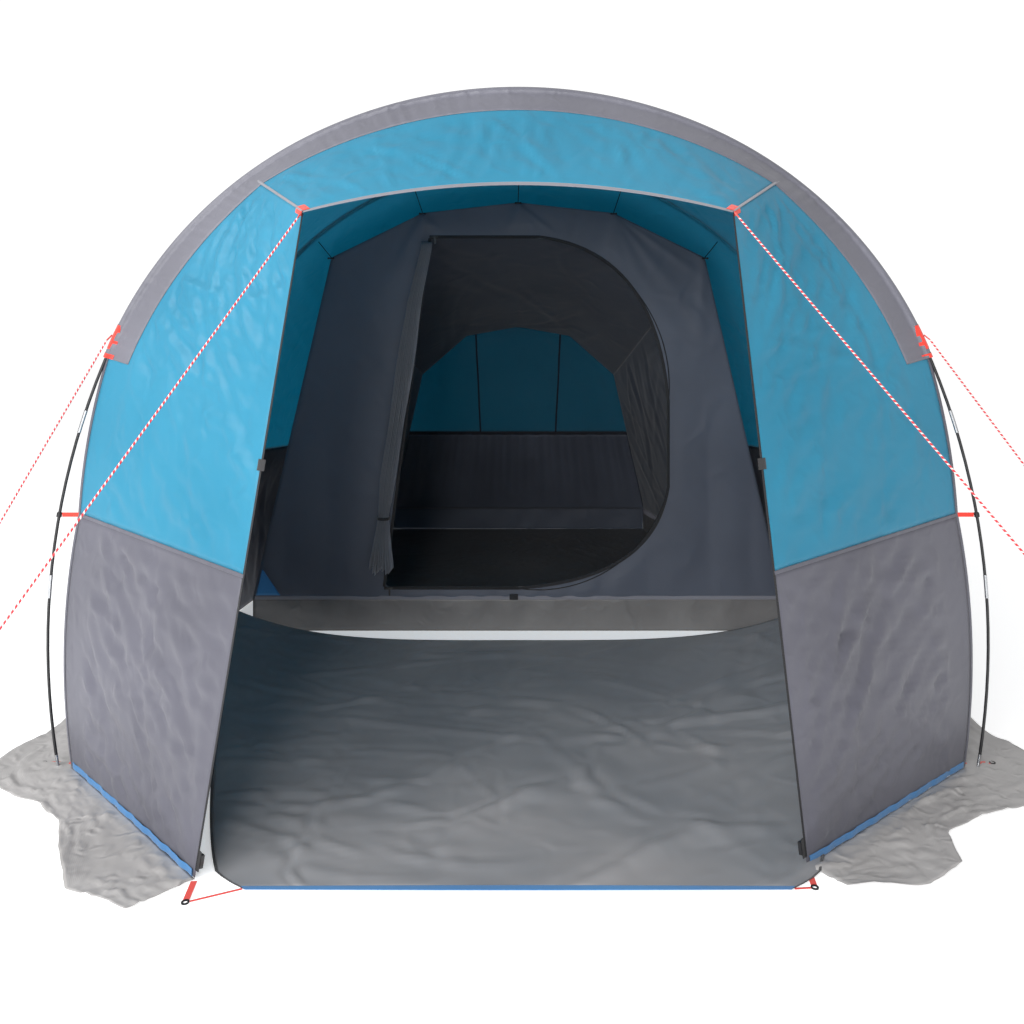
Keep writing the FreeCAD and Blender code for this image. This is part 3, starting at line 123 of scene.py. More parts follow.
# %% Cloth materials
def cloth(name, dark, light, roughness, through=0.0, glow="#FFFFFF", crumple=0.004,
          crumple_size=0.07, thread=0.003, weave=0.00012, sheen=0.15):
    """Coated woven cloth: colour drifts a little, threads and crumples are in the bump."""
    material, tree = new_material(name)
    place = add(tree, "TexCoord")
    drift = add(tree, "TexNoise", Vector=place.outputs["Object"], Scale=1.7, Detail=4.0)
    tint = ramp(tree, drift.outputs["Fac"], dark, light)
    across = add(tree, "TexWave", {"bands_direction": "X"}, Vector=place.outputs["UV"],
                 Scale=waves(thread), Distortion=0.4)
    along = add(tree, "TexWave", {"bands_direction": "Y"}, Vector=place.outputs["UV"],
                Scale=waves(thread), Distortion=0.4)
    threads = add(tree, "Math", {"operation": "MAXIMUM"}, _0=across.outputs["Fac"],
                  _1=along.outputs["Fac"])
    folds = add(tree, "TexNoise", {"noise_type": "RIDGED_MULTIFRACTAL"},
                Vector=place.outputs["Object"], Scale=1 / crumple_size, Detail=3.0, Roughness=0.45,
                Distortion=0.6)
    fold_bump = add(tree, "Bump", Height=folds.outputs["Fac"], Distance=crumple, Strength=0.55)
    bump = add(tree, "Bump", Height=threads.outputs["Value"], Distance=weave, Strength=0.6,
               Normal=fold_bump.outputs["Normal"])
    gloss = add(tree, "MapRange", Value=drift.outputs["Fac"], To_Min=roughness - 0.06,
                To_Max=roughness + 0.06)
    shader = add(tree, "BsdfPrincipled", Base_Color=tint, Roughness=gloss.outputs["Result"],
                 Normal=bump.outputs["Normal"], IOR=1.5, Sheen_Weight=sheen, Sheen_Roughness=0.5)
    last = shader.outputs["BSDF"]
    if through:
        glowing = add(tree, "BsdfTranslucent", Color=colour(glow), Normal=bump.outputs["Normal"])
        last = add(tree, "MixShader", Fac=through, _1=last, _2=glowing.outputs["BSDF"]).outputs[0]
    add(tree, "OutputMaterial", Surface=last)
    return material


# polyester with a polyurethane coat: thin, slightly glossy, and bright against the light
BLUE = cloth("polyester_blue_coated", "#2C8BAA", "#3A99B8", 0.42, 0.42, "#4FC4DC", crumple=0.008)
# heavier polyester with a dull grey coat that lets little light through
GREY = cloth("polyester_grey_coated", "#4E4E58", "#5B5B66", 0.46, 0.08, "#8A8A98", crumple=0.008)
# the sleeves are the same cloth in two layers, puckered by their seams
SLEEVE = cloth("polyester_grey_sleeve", "#56565F", "#65656F", 0.5, 0.0, crumple=0.007,
               crumple_size=0.05)
# bound tape: ribbed and matt
BINDING_BLUE = cloth("woven_tape_blue", "#1E669E", "#2A76AE", 0.75, crumple=0.0006, thread=0.002,
                     weave=0.0005, sheen=0.3)
BINDING_GREY = cloth("woven_tape_grey", "#6A6A72", "#7A7A82", 0.75, crumple=0.0006, thread=0.002,
                     weave=0.0005, sheen=0.3)
BINDING_BLACK = cloth("woven_tape_black", "#111114", "#1B1B1F", 0.8, crumple=0.0006, thread=0.002,
                      weave=0.0005, sheen=0.3)
RED = cloth("woven_webbing_red", "#C8281A", "#DC3220", 0.7, crumple=0.0003, thread=0.0035,
            weave=0.0008, sheen=0.3)
# breathable inner polyester: uncoated, dark, matt
INNER = cloth("polyester_inner_dark", "#525764", "#626876", 0.55, 0.35, "#5A7488", crumple=0.012,
              crumple_size=0.14, sheen=0.3)
# the gathered door is the same cloth; its tight pleats shade one another and turn nearly black, so
# its colours are set paler to make up for that
DOOR = cloth("polyester_inner_door", "#7C8292", "#8E94A2", 0.5, 0.2, "#5A7488", crumple=0.006,
             sheen=0.4)
# woven polyethylene sheet: plasticky, crackled all over by folding
SKIRT = cloth("polyethylene_skirt", "#959392", "#ACAAA9", 0.36, crumple=0.012, crumple_size=0.05,
              thread=0.004, weave=0.0003, sheen=0.0)
TUB = cloth("polyethylene_floor", "#5A5858", "#6C6A69", 0.42, crumple=0.009, crumple_size=0.07,
            thread=0.004, weave=0.0003, sheen=0.0)
GROUNDSHEET = cloth("polyester_groundsheet", "#75777B", "#8C8A8B", 0.40, crumple=0.010,
                    crumple_size=0.12, sheen=0.1)
print(len(bpy.data.materials), "cloth materials")


# %% [markdown]
# ## Mosquito mesh, poles and fittings
# Mesh is mostly holes: at this distance the eye gets one dark veil. The holes are 1.2 mm wide, too
# fine to draw, so the whole sheet is partly see-through. The poles are pultruded glass fibre, black
# and slightly streaked along the pull. Ferrules and tips are plated steel.

# %% Mesh material
def mesh_cloth(name, dark, light, cover):
    material, tree = new_material(name)
    place = add(tree, "TexCoord")
    drift = add(tree, "TexNoise", Vector=place.outputs["Object"], Scale=3.0, Detail=3.0)
    tint = ramp(tree, drift.outputs["Fac"], dark, light)
    net = add(tree, "TexVoronoi", {"feature": "DISTANCE_TO_EDGE"}, Vector=place.outputs["UV"],
              Scale=1 / 0.004)
    bump = add(tree, "Bump", Height=net.outputs["Distance"], Distance=0.0006, Strength=0.7)
    shader = add(tree, "BsdfPrincipled", Base_Color=tint, Roughness=0.8, Alpha=cover,
                 Normal=bump.outputs["Normal"])
    add(tree, "OutputMaterial", Surface=shader.outputs["BSDF"])
    return material


MESH = mesh_cloth("mosquito_mesh_black", "#1A2028", "#28303C", 0.36)


# %% [markdown]
# Hard finishes share one recipe: grain noise, stretched along the way the thing was pulled or
# moulded, drives colour, gloss and a very shallow bump. Zip coil and braided cord have a pattern of
# their own, turns that repeat along their length.

# %% Hard materials
def hard(name, dark, light, roughness, metallic=0.0, stretch=(1.0, 1.0, 1.0), grain=0.004,
         depth=0.00008, coat=0.0):
    """Hard finish: colour and gloss drift with grain stretched along the way it was made."""
    material, tree = new_material(name)
    place = add(tree, "TexCoord")
    turned = add(tree, "Mapping", Vector=place.outputs["Object"], Scale=stretch)
    fine = add(tree, "TexNoise", Vector=turned.outputs["Vector"], Scale=1 / grain, Detail=5.0,
               Roughness=0.6)
    tint = ramp(tree, fine.outputs["Fac"], dark, light)
    gloss = add(tree, "MapRange", Value=fine.outputs["Fac"], To_Min=roughness - 0.08,
                To_Max=roughness + 0.1)
    bump = add(tree, "Bump", Height=fine.outputs["Fac"], Distance=depth, Strength=0.5)
    shader = add(tree, "BsdfPrincipled", Base_Color=tint, Roughness=gloss.outputs["Result"],
                 Metallic=metallic, Normal=bump.outputs["Normal"], Coat_Weight=coat)
    add(tree, "OutputMaterial", Surface=shader.outputs["BSDF"])
    return material


POLE = hard("glass_fibre_black", "#0C0C0E", "#1A1A1D", 0.32, stretch=(1, 1, 0.1), coat=0.2)
STEEL = hard("plated_steel", "#A9ABAE", "#C9CBCE", 0.25, 1.0, stretch=(1, 1, 0.15), grain=0.002)
DARK_STEEL = hard("blackened_steel", "#2A2A2C", "#3C3C3F", 0.4, 0.9)
NYLON = hard("moulded_nylon_black", "#0D0D0F", "#17171A", 0.45, grain=0.0015)
ZINC = hard("enamelled_zinc_black", "#0E0E10", "#1C1C1F", 0.35, grain=0.003, coat=0.4)
ELASTIC = hard("braided_elastic_black", "#0C0C0E", "#1C1C20", 0.75, grain=0.0016, depth=0.0004)


def coil_material():
    """Polyester coil: teeth 1.5 mm apart, drawn at 4 mm so that they show."""
    material, tree = new_material("zip_coil_black")
    place = add(tree, "TexCoord")
    teeth = add(tree, "TexWave", {"bands_direction": "Z"}, Vector=place.outputs["Object"],
                Scale=waves(0.004))
    tint = ramp(tree, teeth.outputs["Fac"], "#08080A", "#1C1C20")
    bump = add(tree, "Bump", Height=teeth.outputs["Fac"], Distance=0.0008)
    shader = add(tree, "BsdfPrincipled", Base_Color=tint, Roughness=0.5,
                 Normal=bump.outputs["Normal"])
    add(tree, "OutputMaterial", Surface=shader.outputs["BSDF"])
    return material


COIL = coil_material()


def rope_material():
    """Braided cord: red and white strands wind round it, 14 mm to a turn."""
    material, tree = new_material("braided_cord_red_white")
    place = add(tree, "TexCoord")
    turn = add(tree, "TexWave", {"bands_direction": "DIAGONAL"}, Vector=place.outputs["UV"],
               Scale=2 * math.pi / 10)
    tint = ramp(tree, turn.outputs["Fac"], "#C4202C", "#E6D6D2", 0.62, 0.78)
    bump = add(tree, "Bump", Height=turn.outputs["Fac"], Distance=0.0007)
    shader = add(tree, "BsdfPrincipled", Base_Color=tint, Roughness=0.7, Sheen_Weight=0.3,
                 Normal=bump.outputs["Normal"])
    add(tree, "OutputMaterial", Surface=shader.outputs["BSDF"])
    return material


ROPE = rope_material()
print(len(bpy.data.materials), "materials")

# %% [markdown]
# ## From numbers to meshes
# A panel is a grid of points. Its UV map is in metres of cloth, so that a weave has one scale
# everywhere. Its faces are turned outwards by comparing them with a point inside the tent.

# %% Grid helpers
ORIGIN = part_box("front_hoop_sections")
ORIGIN = np.array([(ORIGIN[0].x + ORIGIN[1].x) / 2, (ORIGIN[0].y + ORIGIN[1].y) / 2, 0.0])
HEART = np.array([0.0, 0.9, 0.8])
STEP = 0.018
print("front hoop's middle", ORIGIN.round(4))


def measure(points):
    """Metres of cloth along both directions of a grid, from its middle lines."""
    down = np.linalg.norm(np.diff(points, axis=0), axis=2).mean(axis=1)
    over = np.linalg.norm(np.diff(points, axis=1), axis=2).mean(axis=0)
    a = np.concatenate([[0.0], np.cumsum(over)])[None, :] + np.zeros((points.shape[0], 1))
    b = np.concatenate([[0.0], np.cumsum(down)])[:, None] + np.zeros((1, points.shape[1]))
    return a, b


def grid_normals(points, away=None):
    """Unit normals, pointing away from a point inside."""
    cross = np.cross(np.gradient(points, axis=1), np.gradient(points, axis=0))
    cross /= np.maximum(np.linalg.norm(cross, axis=2, keepdims=True), 1e-12)
    away = HEART if away is None else np.asarray(away)
    if ((points - away) * cross).sum() < 0:
        cross = -cross
    return cross


def piece(name, points, material, replaces=(), body="tent", thick=0.0008, away=None,
          closed=False, uv=None, faces_out=None):
    """Mesh from a grid; closed joins its last column to its first."""
    points = np.asarray(points, float)
    rows, columns = points.shape[:2]
    world = points + ORIGIN
    index = np.arange(rows * columns).reshape(rows, columns)
    if closed:
        index = np.concatenate([index, index[:, :1]], axis=1)
    quads = np.stack([index[:-1, :-1], index[:-1, 1:], index[1:, 1:], index[1:, :-1]], axis=-1)
    quads = quads.reshape(-1, 4)
    flat = points.reshape(-1, 3)
    cross = np.cross(flat[quads[:, 1]] - flat[quads[:, 0]], flat[quads[:, 3]] - flat[quads[:, 0]])
    if faces_out is None:
        middle = flat[quads].mean(axis=1)
        if closed:
            centre = np.repeat(points.mean(axis=1)[:-1], columns, axis=0)
        else:
            centre = HEART if away is None else np.asarray(away)
        faces_out = ((middle - centre) * cross).sum() >= 0
    if not faces_out:
        quads = quads[:, ::-1]
    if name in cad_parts:
        name += "_braid" if name.startswith("guy") else "_cloth"
    mesh = bpy.data.meshes.new(name)
    mesh.from_pydata(world.reshape(-1, 3), [], quads)
    a, b = measure(points) if uv is None else uv
    if closed:
        a_loop = np.concatenate([a, a[:, -1:] * columns / (columns - 1)], axis=1)
        b_loop = np.concatenate([b, b[:, :1]], axis=1)
    else:
        a_loop, b_loop = a, b
    wide = a_loop.shape[1]
    grid = np.arange(rows * wide).reshape(rows, wide)
    corner_ids = np.stack([grid[:-1, :-1], grid[:-1, 1:], grid[1:, 1:], grid[1:, :-1]], axis=-1)
    corner_ids = corner_ids.reshape(-1, 4)
    if not faces_out:
        corner_ids = corner_ids[:, ::-1]
    flat_uv = np.stack([a_loop.ravel()[corner_ids.ravel()], b_loop.ravel()[corner_ids.ravel()]], 1)
    layer = mesh.uv_layers.new(name="cloth")
    layer.data.foreach_set("uv", flat_uv.astype(np.float32).ravel())
    mesh.polygons.foreach_set("use_smooth", np.ones(len(mesh.polygons), bool))
    mesh.materials.append(material)
    mesh.update()
    item = bpy.data.objects.new(name, mesh)
    bpy.context.scene.collection.objects.link(item)
    if thick:
        solid = item.modifiers.new("thickness", "SOLIDIFY")
        solid.thickness, solid.offset = thick, -1.0
    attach(item, body)
    if replaces:
        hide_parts(*replaces)
    return item


def cut(item):
    """Return the panel as it is."""
    return item


def steps(first, last, length, least=2):
    """Evenly spaced numbers, about one STEP of cloth apart."""
    return np.linspace(first, last, max(least, int(round(length / STEP))) + 1)


# %% [markdown]
# ## Creases
# Thin coated cloth under tension doesn't ripple evenly: it makes short ridges that fade out at
# their ends, at odd angles about the line of pull. Each crease here is a ridge with a rounded cross
# section along a short line on the cloth, and a panel is the sum of a few dozen of them. They
# fade to nothing at the panel's seams, where the cloth is held.

# %% Crease function
def edge_fade(a, b, reach=0.07, sides="lrtb", still=0.0):
    """0 at the named edges of a panel and 1 a hand's width inside."""
    fade = np.ones_like(a)
    gaps = dict(l=a - a.min(), r=a.max() - a, t=b - b.min(), b=b.max() - b)
    for side, gap in gaps.items():
        if side in sides:
            rest = still if side in "tb" else 0.0
            fade = fade * (1 - np.exp(-(np.clip(gap - rest, 0, None) / reach) ** 2))
    return fade


def creases(a, b, seed, count, height, lean=0.0, spread=0.6, length=0.35, width=0.022):
    """Sum of ridges: a bell across each line, fading along it, up or down at random."""
    rng = np.random.default_rng(seed)
    total = np.zeros_like(a)
    for number in range(count):
        angle = lean + rng.normal(0, spread)
        mid_a = a.min() + rng.random() * (a.max() - a.min())
        mid_b = b.min() + rng.random() * (b.max() - b.min())
        reach, thin = length * rng.uniform(0.5, 1.5), width * rng.uniform(0.6, 1.6)
        along = (a - mid_a) * math.cos(angle) + (b - mid_b) * math.sin(angle)
        bow = rng.uniform(-0.25, 0.25) * along ** 2 / reach
        aside = -(a - mid_a) * math.sin(angle) + (b - mid_b) * math.cos(angle) + bow
        ditch = 0.45 * np.exp(-((aside - 1.6 * thin) / (1.4 * thin)) ** 2)
        ridge = np.exp(-(aside / thin) ** 2) - ditch
        way = rng.uniform(0.35, 1.0) * rng.choice([1, -1])
        total += way * ridge * np.exp(-(along / reach) ** 4)
    return total * height


def swells(a, b, seed, size, height, count=14):
    """Slow unevenness: a few broad sine waves in random directions."""
    rng = np.random.default_rng(seed)
    total = np.zeros_like(a)
    for number in range(count):
        angle, phase = rng.uniform(0, math.pi), rng.uniform(0, 2 * math.pi)
        period = size * rng.uniform(0.6, 1.6)
        total += np.sin((a * math.cos(angle) + b * math.sin(angle)) * 2 * math.pi / period + phase)
    return total * height / math.sqrt(count)


def worn(points, seed, count, height, away=None, fade=0.07, sides="lrtb", swell=0.003, sag=0.0,
         still=0.0, **shape):
    """Panel with creases, swells and a slight sag inwards, all held at its seams."""
    a, b = measure(points)
    lift = creases(a, b, seed, count, height, **shape) + swells(a, b, seed + 1, 0.5, swell)
    bulge = np.sin(np.pi * (a - a.min()) / np.ptp(a)) * np.sin(np.pi * (b - b.min()) / np.ptp(b))
    lift = (lift - sag * np.abs(bulge)) * edge_fade(a, b, fade, sides, still)
    return points + grid_normals(points, away) * lift[:, :, None]

# %% [markdown]
# ## Guys
# Each guy is a braided cord, pulled straight between its webbing loop and its peg. It is made first
# as a smooth spline of its own real length, and the strands follow that spline. It sags by less
# than a millimetre, because it is taut.

# %% Guy ropes
ROPE_RADIUS = 0.00275
GUYS = {
    "peak_left": ((-0.63060, -0.35170, 1.7384), (-1.64500, -1.02270, 0.0305)),
    "peak_right": ((0.63230, -0.35120, 1.7394), (1.85480, -1.00720, 0.0293)),
    "shoulder_left": ((-1.33150, -0.00750, 1.3859), (-1.99430, -0.29750, 0.0336)),
    "shoulder_right": ((1.33290, -0.00980, 1.3873), (2.14470, -0.47700, 0.0308)),
}
SAG = 0.0006
ROPE_TURN = 0.014


def spline_points(controls):
    """Points along the smooth line that a few control points pull."""
    data = bpy.data.curves.new("line", "CURVE")
    data.dimensions = "3D"
    line = data.splines.new("NURBS")
    line.points.add(len(controls) - 1)
    line.points.foreach_set("co", np.column_stack([controls, np.ones(len(controls))]).ravel())
    line.order_u, line.use_endpoint_u, line.resolution_u = 3, True, 60
    item = bpy.data.objects.new("line", data)
    mesh = bpy.data.meshes.new_from_object(item)
    found = np.empty(len(mesh.vertices) * 3)
    mesh.vertices.foreach_get("co", found)
    bpy.data.objects.remove(item)
    bpy.data.meshes.remove(mesh)
    return found.reshape(-1, 3)


def rope(name, path):
    """Tube round a path with three rounded strands: radius = r (0.9 + 0.1 |sin|) of the turn."""
    runs = np.concatenate([[0.0], np.cumsum(np.linalg.norm(np.diff(path, axis=0), axis=1))])
    spots = np.linspace(0, runs[-1], int(runs[-1] / 0.006) + 1)
    line = np.column_stack([np.interp(spots, runs, path[:, i]) for i in range(3)])
    way = np.gradient(line, axis=0)
    way /= np.linalg.norm(way, axis=1, keepdims=True)
    first = np.cross(way, [0.0, 1.0, 0.0])
    first /= np.linalg.norm(first, axis=1, keepdims=True)
    second = np.cross(way, first)
    angle = np.linspace(0, 2 * np.pi, 12, endpoint=False)[None, :]
    turn = angle + 2 * np.pi * spots[:, None] / ROPE_TURN
    radius = ROPE_RADIUS * (0.9 + 0.12 * np.abs(np.sin(1.5 * turn)))
    ring = (first[:, None] * np.cos(angle)[:, :, None]
            + second[:, None] * np.sin(angle)[:, :, None])
    points = line[:, None] + ring * radius[:, :, None]
    uv = (angle / (2 * np.pi) + np.zeros_like(radius), spots[:, None] / ROPE_TURN
          + np.zeros_like(radius))
    return piece(name, points - ORIGIN, ROPE, [name], thick=0, closed=True, uv=uv), line


for name, (top, low) in GUYS.items():
    share = np.array([0.0, 0.3, 0.62, 1.0])[:, None]
    controls = np.array(top) + (np.array(low) - np.array(top)) * share + ORIGIN
    controls[:, 2] -= SAG * np.sin(np.pi * share[:, 0])
    item, line = rope("guy_" + name, spline_points(controls))
    length = float(np.linalg.norm(np.diff(line, axis=0), axis=1).sum())
    print("guy", name, round(length, 3), "m")

# %% [markdown]
# ## Hoops
# Half a hoop is three arcs, each touching the next: crown, shoulder and leg. A length from the
# crown gives a point on them, and so does a height on the leg. Cloth lies just inside the pole.

# %% Hoop arcs
class Hoop:
    """Crown, shoulder and leg arcs of half a hoop."""

    def __init__(self, y, height, half_width, widest, crown_radius, shoulder_radius):
        self.y, angle, foot_height = y, math.radians(25), 0.0033
        crown = (0.0, height - crown_radius)
        reach = crown_radius - shoulder_radius
        shoulder = (reach * math.sin(angle), crown[1] + reach * math.cos(angle))
        aside, above = shoulder[0] - half_width, shoulder[1] - widest
        leg_radius = ((shoulder_radius ** 2 - aside ** 2 - above ** 2)
                      / (2 * (aside + shoulder_radius)))
        leg = (half_width - leg_radius, widest)
        turn = math.atan2(shoulder[0] - leg[0], shoulder[1] - leg[1])
        foot = math.pi / 2 + math.asin((widest - foot_height) / leg_radius)
        self.centre = np.array([crown, shoulder, leg])
        self.radius = np.array([crown_radius, shoulder_radius, leg_radius])
        self.start = np.array([0.0, angle, turn])
        spans = self.radius * (np.array([angle, turn, foot]) - self.start)
        self.begin = np.concatenate([[0.0], np.cumsum(spans)])
        self.length = self.begin[-1]

    def at(self, run, inward=0.0):
        """(x, z) at a length from the crown."""
        run = np.asarray(run, float)
        arc = (run > self.begin[1]).astype(int) + (run > self.begin[2])
        angle = self.start[arc] + (run - self.begin[arc]) / self.radius[arc]
        reach = self.radius[arc] - inward
        return (self.centre[arc, 0] + reach * np.sin(angle),
                self.centre[arc, 1] + reach * np.cos(angle))

    def run_at(self, z):
        """Length from the crown at which the pole is at height z."""
        z = np.asarray(z, float)
        marks = self.at(self.begin[1:3])[1]
        arc = (z < marks[0]).astype(int) + (z < marks[1])
        angle = np.arccos(np.clip((z - self.centre[arc, 1]) / self.radius[arc], -1, 1))
        return self.begin[arc] + (angle - self.start[arc]) * self.radius[arc]


middle_box, rear_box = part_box("middle_hoop_sections"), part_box("rear_hoop_sections")
MIDDLE_Y = (middle_box[0].y + middle_box[1].y) / 2 - ORIGIN[1]
REAR_Y = (rear_box[0].y + rear_box[1].y) / 2 - ORIGIN[1]
FRONT = Hoop(0.0, 2.2, 1.526, 0.4, 1.528, 1.369404)
MIDDLE = Hoop(MIDDLE_Y, 2.2, 1.526, 0.4, 1.528, 1.369404)
REAR = Hoop(REAR_Y, 1.64, 1.31, 0.33, 1.33, 1.295218)
print("hoops at", 0.0, round(MIDDLE_Y, 3), round(REAR_Y, 3))

# %% [markdown]
# ## The fly between the hoops
# A line of cloth is named by a number k: 0 at the crown, 4 at the awning's seam, 9 at the lower
# end of the sleeve, 11 at the colour seam and 13 at the ground, negative on the left. Between two
# hoops the cloth runs straight, so a point is a blend of the same k on both: a ruled surface.

# %% Fly surface
SEAT, HEM = 0.00595, 0.004
SEAM_K, SLEEVE_K, COLOUR_K, BASE_K = 4, 9, 11, 13
for hoop, first, sleeve, seam in ((FRONT, 0.93, 1.33, 0.82), (MIDDLE, 0.93, 1.33, 0.82),
                                  (REAR, 1.0, 0.95, 0.70)):
    hoop.first, hoop.sleeve, hoop.seam = first, sleeve, seam
    hoop.second = float(hoop.run_at(sleeve))


def fly(hoop, s, depth=0.0):
    """Point of the cloth at a hoop: lying under the pole above k 9, hanging inside it below."""
    side, k = np.where(s < 0, -1.0, 1.0), np.abs(s)
    run = np.where(k < SEAM_K, hoop.first * k / SEAM_K,
                   hoop.first + (hoop.second - hoop.first) * (k - SEAM_K) / (SLEEVE_K - SEAM_K))
    x, z = hoop.at(np.minimum(run, hoop.second), SEAT + depth)
    low = np.where(k < COLOUR_K, hoop.sleeve + (hoop.seam - hoop.sleeve) * (k - SLEEVE_K) / 2,
                   hoop.seam + (HEM - hoop.seam) * (k - COLOUR_K) / 2)
    slack = np.where(low > hoop.seam, 0.06 * (hoop.sleeve - low) / (hoop.sleeve - hoop.seam),
                     0.04 + 0.02 * low / hoop.seam)
    wall_x = hoop.at(hoop.run_at(np.minimum(low, hoop.sleeve)))[0] - SEAT - slack - depth
    below = k > SLEEVE_K
    return np.stack([side * np.where(below, wall_x, x), np.full_like(k, hoop.y),
                     np.where(below, low, z)], axis=-1)


def mixed(p, q, share):
    return p + (q - p) * np.asarray(share)[..., None]


def bay(s, y, depth=0.0):
    """Cloth between two hoops, straight from one to the next."""
    y = y + 0 * s
    front = y <= MIDDLE_Y
    share = np.where(front, y / MIDDLE_Y, (y - MIDDLE_Y) / (REAR_Y - MIDDLE_Y))
    near = np.where(front[..., None], fly(FRONT, s, depth), fly(MIDDLE, s, depth))
    far = np.where(front[..., None], fly(MIDDLE, s, depth), fly(REAR, s, depth))
    return mixed(near, far, share)


def grid(first_s, last_s, first_t, last_t, width, length):
    """Two arrays of parameters over a panel of about that width and length."""
    return np.meshgrid(steps(first_s, last_s, width), steps(first_t, last_t, length))


def fly_piece(name, points, material, seed, slot, held="stretched", **how):
    shape = dict(count=90, height=0.006, lean=math.pi / 2, spread=0.5, length=0.3, width=0.02)
    extra = {key: how.pop(key) for key in ("replaces", "rests_on", "body", "away") if key in how}
    shape.update(how)
    shaped = worn(points, seed, away=extra.get("away"), **shape)
    item = piece(name, shaped, material, extra.get("replaces", [name]),
                 extra.get("body", "tent"), away=extra.get("away"))
    return cut(item)


# %% [markdown]
# ## Roofs and side walls
# One panel runs over the crown in each bay, and a grey wall hangs below its seam. Both take their
# place from the ruled surface, and then creases lift them.

# %% Roofs and side walls
for name, first, last, length, sag in (("fly_roof_front", 0.0, MIDDLE_Y, 1.31, 0.006),
                                       ("fly_roof_rear", MIDDLE_Y, REAR_Y, 1.87, 0.010)):
    s, y = grid(-COLOUR_K, COLOUR_K, first, last, 4.6, length)
    fly_piece(name, bay(s, y), BLUE, len(name), "blue_polyester", sag=sag, count=140, still=0.03,
              fade=0.05)
for name, side in (("left", -1), ("right", 1)):
    s, y = grid(side * COLOUR_K, side * BASE_K, 0.0, REAR_Y, 0.82, 3.1)
    points = np.swapaxes(bay(s, y), 0, 1)
    fly_piece("fly_wall_" + name, points, GREY, 40 + side, "grey_polyester", held="hung",
              count=80, height=0.006, lean=math.pi / 2, spread=0.35, swell=0.006)

# %% [markdown]
# ## The porch
# In front of the first hoop every line of cloth runs straight to the doorway's edge: the awning's
# lines to its curved hem, the wings' lines to a straight line from the awning's corner, the peak,
# down to the foot of the doorway. Guys pull at the peaks, so creases fan out from them.

# %% Porch surface
PEAK_HALF, PEAK_HEIGHT, AWNING_REACH, HEM_RISE = 0.617, 1.76, 0.34, 0.08
CORNERS = {-1: np.array([-0.835, -0.60, HEM]), 1: np.array([0.765, -0.54, HEM])}
SEAM_SHARE = 1 - 0.75 / PEAK_HEIGHT


def peak(side):
    return np.array([side * PEAK_HALF, -AWNING_REACH, PEAK_HEIGHT])


def front_edge(s):
    """Hem's arch over the doorway, then the zip's straight line."""
    side, k = np.where(s < 0, -1.0, 1.0), np.abs(s)
    share = np.minimum(k / SEAM_K, 1)
    hem = np.stack([side * share * PEAK_HALF, np.full_like(k, -AWNING_REACH),
                    PEAK_HEIGHT + HEM_RISE * (1 - share ** 2)], axis=-1)
    down = np.interp(k, [SEAM_K, SLEEVE_K, COLOUR_K, BASE_K],
                     [0, 0.56 * SEAM_SHARE, SEAM_SHARE, 1])
    foot = np.where((side < 0)[..., None], CORNERS[-1], CORNERS[1])
    top = np.where((side < 0)[..., None], peak(-1), peak(1))
    return np.where((k <= SEAM_K)[..., None], hem, mixed(top, foot, down))


def porch(s, share, depth=0.0):
    """Cloth from the front hoop, share 0, to the doorway's edge, share 1."""
    return mixed(fly(FRONT, s, depth), front_edge(s), share)


def pull_creases(points, spot, seed, count, height, spread, way):
    """Ridges that start at one spot and fan out, widening and fading as they go."""
    rng = np.random.default_rng(seed)
    a, b = measure(points)
    gap = np.linalg.norm(points - spot, axis=2)
    row, column = np.unravel_index(gap.argmin(), gap.shape)
    da, db = a - a[row, column], b - b[row, column]
    distance, angle = np.hypot(da, db) + 1e-6, np.arctan2(db, da)
    total = np.zeros_like(a)
    for number in range(count):
        line = way + spread * (number + rng.uniform(0.2, 0.8) - count / 2) / count
        off = (angle - line + np.pi) % (2 * np.pi) - np.pi
        reach = rng.uniform(0.35, 0.95)
        thin = 0.008 + 0.05 * distance
        ridge = np.exp(-(off * distance / thin) ** 2)
        total += ridge * rng.uniform(0.5, 1.0) * np.minimum(distance / 0.1, 1) * np.exp(
            -(distance / reach) ** 2)
    return total * height


BAND = 0.112


def beyond_band(points):
    """0 under the front sleeve's band and 1 a little in front of it."""
    ahead = np.linalg.norm(points - points[:1], axis=2)
    t = np.clip((ahead - BAND - 0.008) / 0.04, 0, 1)
    return t * t * (3 - 2 * t)


def with_pulls(points, name, material, seed, slot, pulls, **how):
    """Panel whose creases fan out from the places where it is pulled."""
    a, b = measure(points)
    lift = np.zeros_like(a)
    for number, (spot, count, height, spread, way) in enumerate(pulls):
        lift += pull_creases(points, np.array(spot), seed + number, count, height, spread, way)
    lift *= edge_fade(a, b, 0.03)
    shaped = points + grid_normals(points) * lift[:, :, None]
    shape = dict(count=45, height=0.006, lean=0.9, spread=0.5, length=0.25, width=0.018, fade=0.04)
    shape.update(how)
    shaped = worn(shaped, seed, **shape)
    shaped = points + (shaped - points) * beyond_band(points)[..., None]
    item = piece(name, shaped, material, [name])
    return cut(item)


# %% [markdown]
# The awning has most creases near the peaks. A wing is also pulled at the sleeve's end and at the
# foot of the doorway, so each gets fans of ridges from those spots.

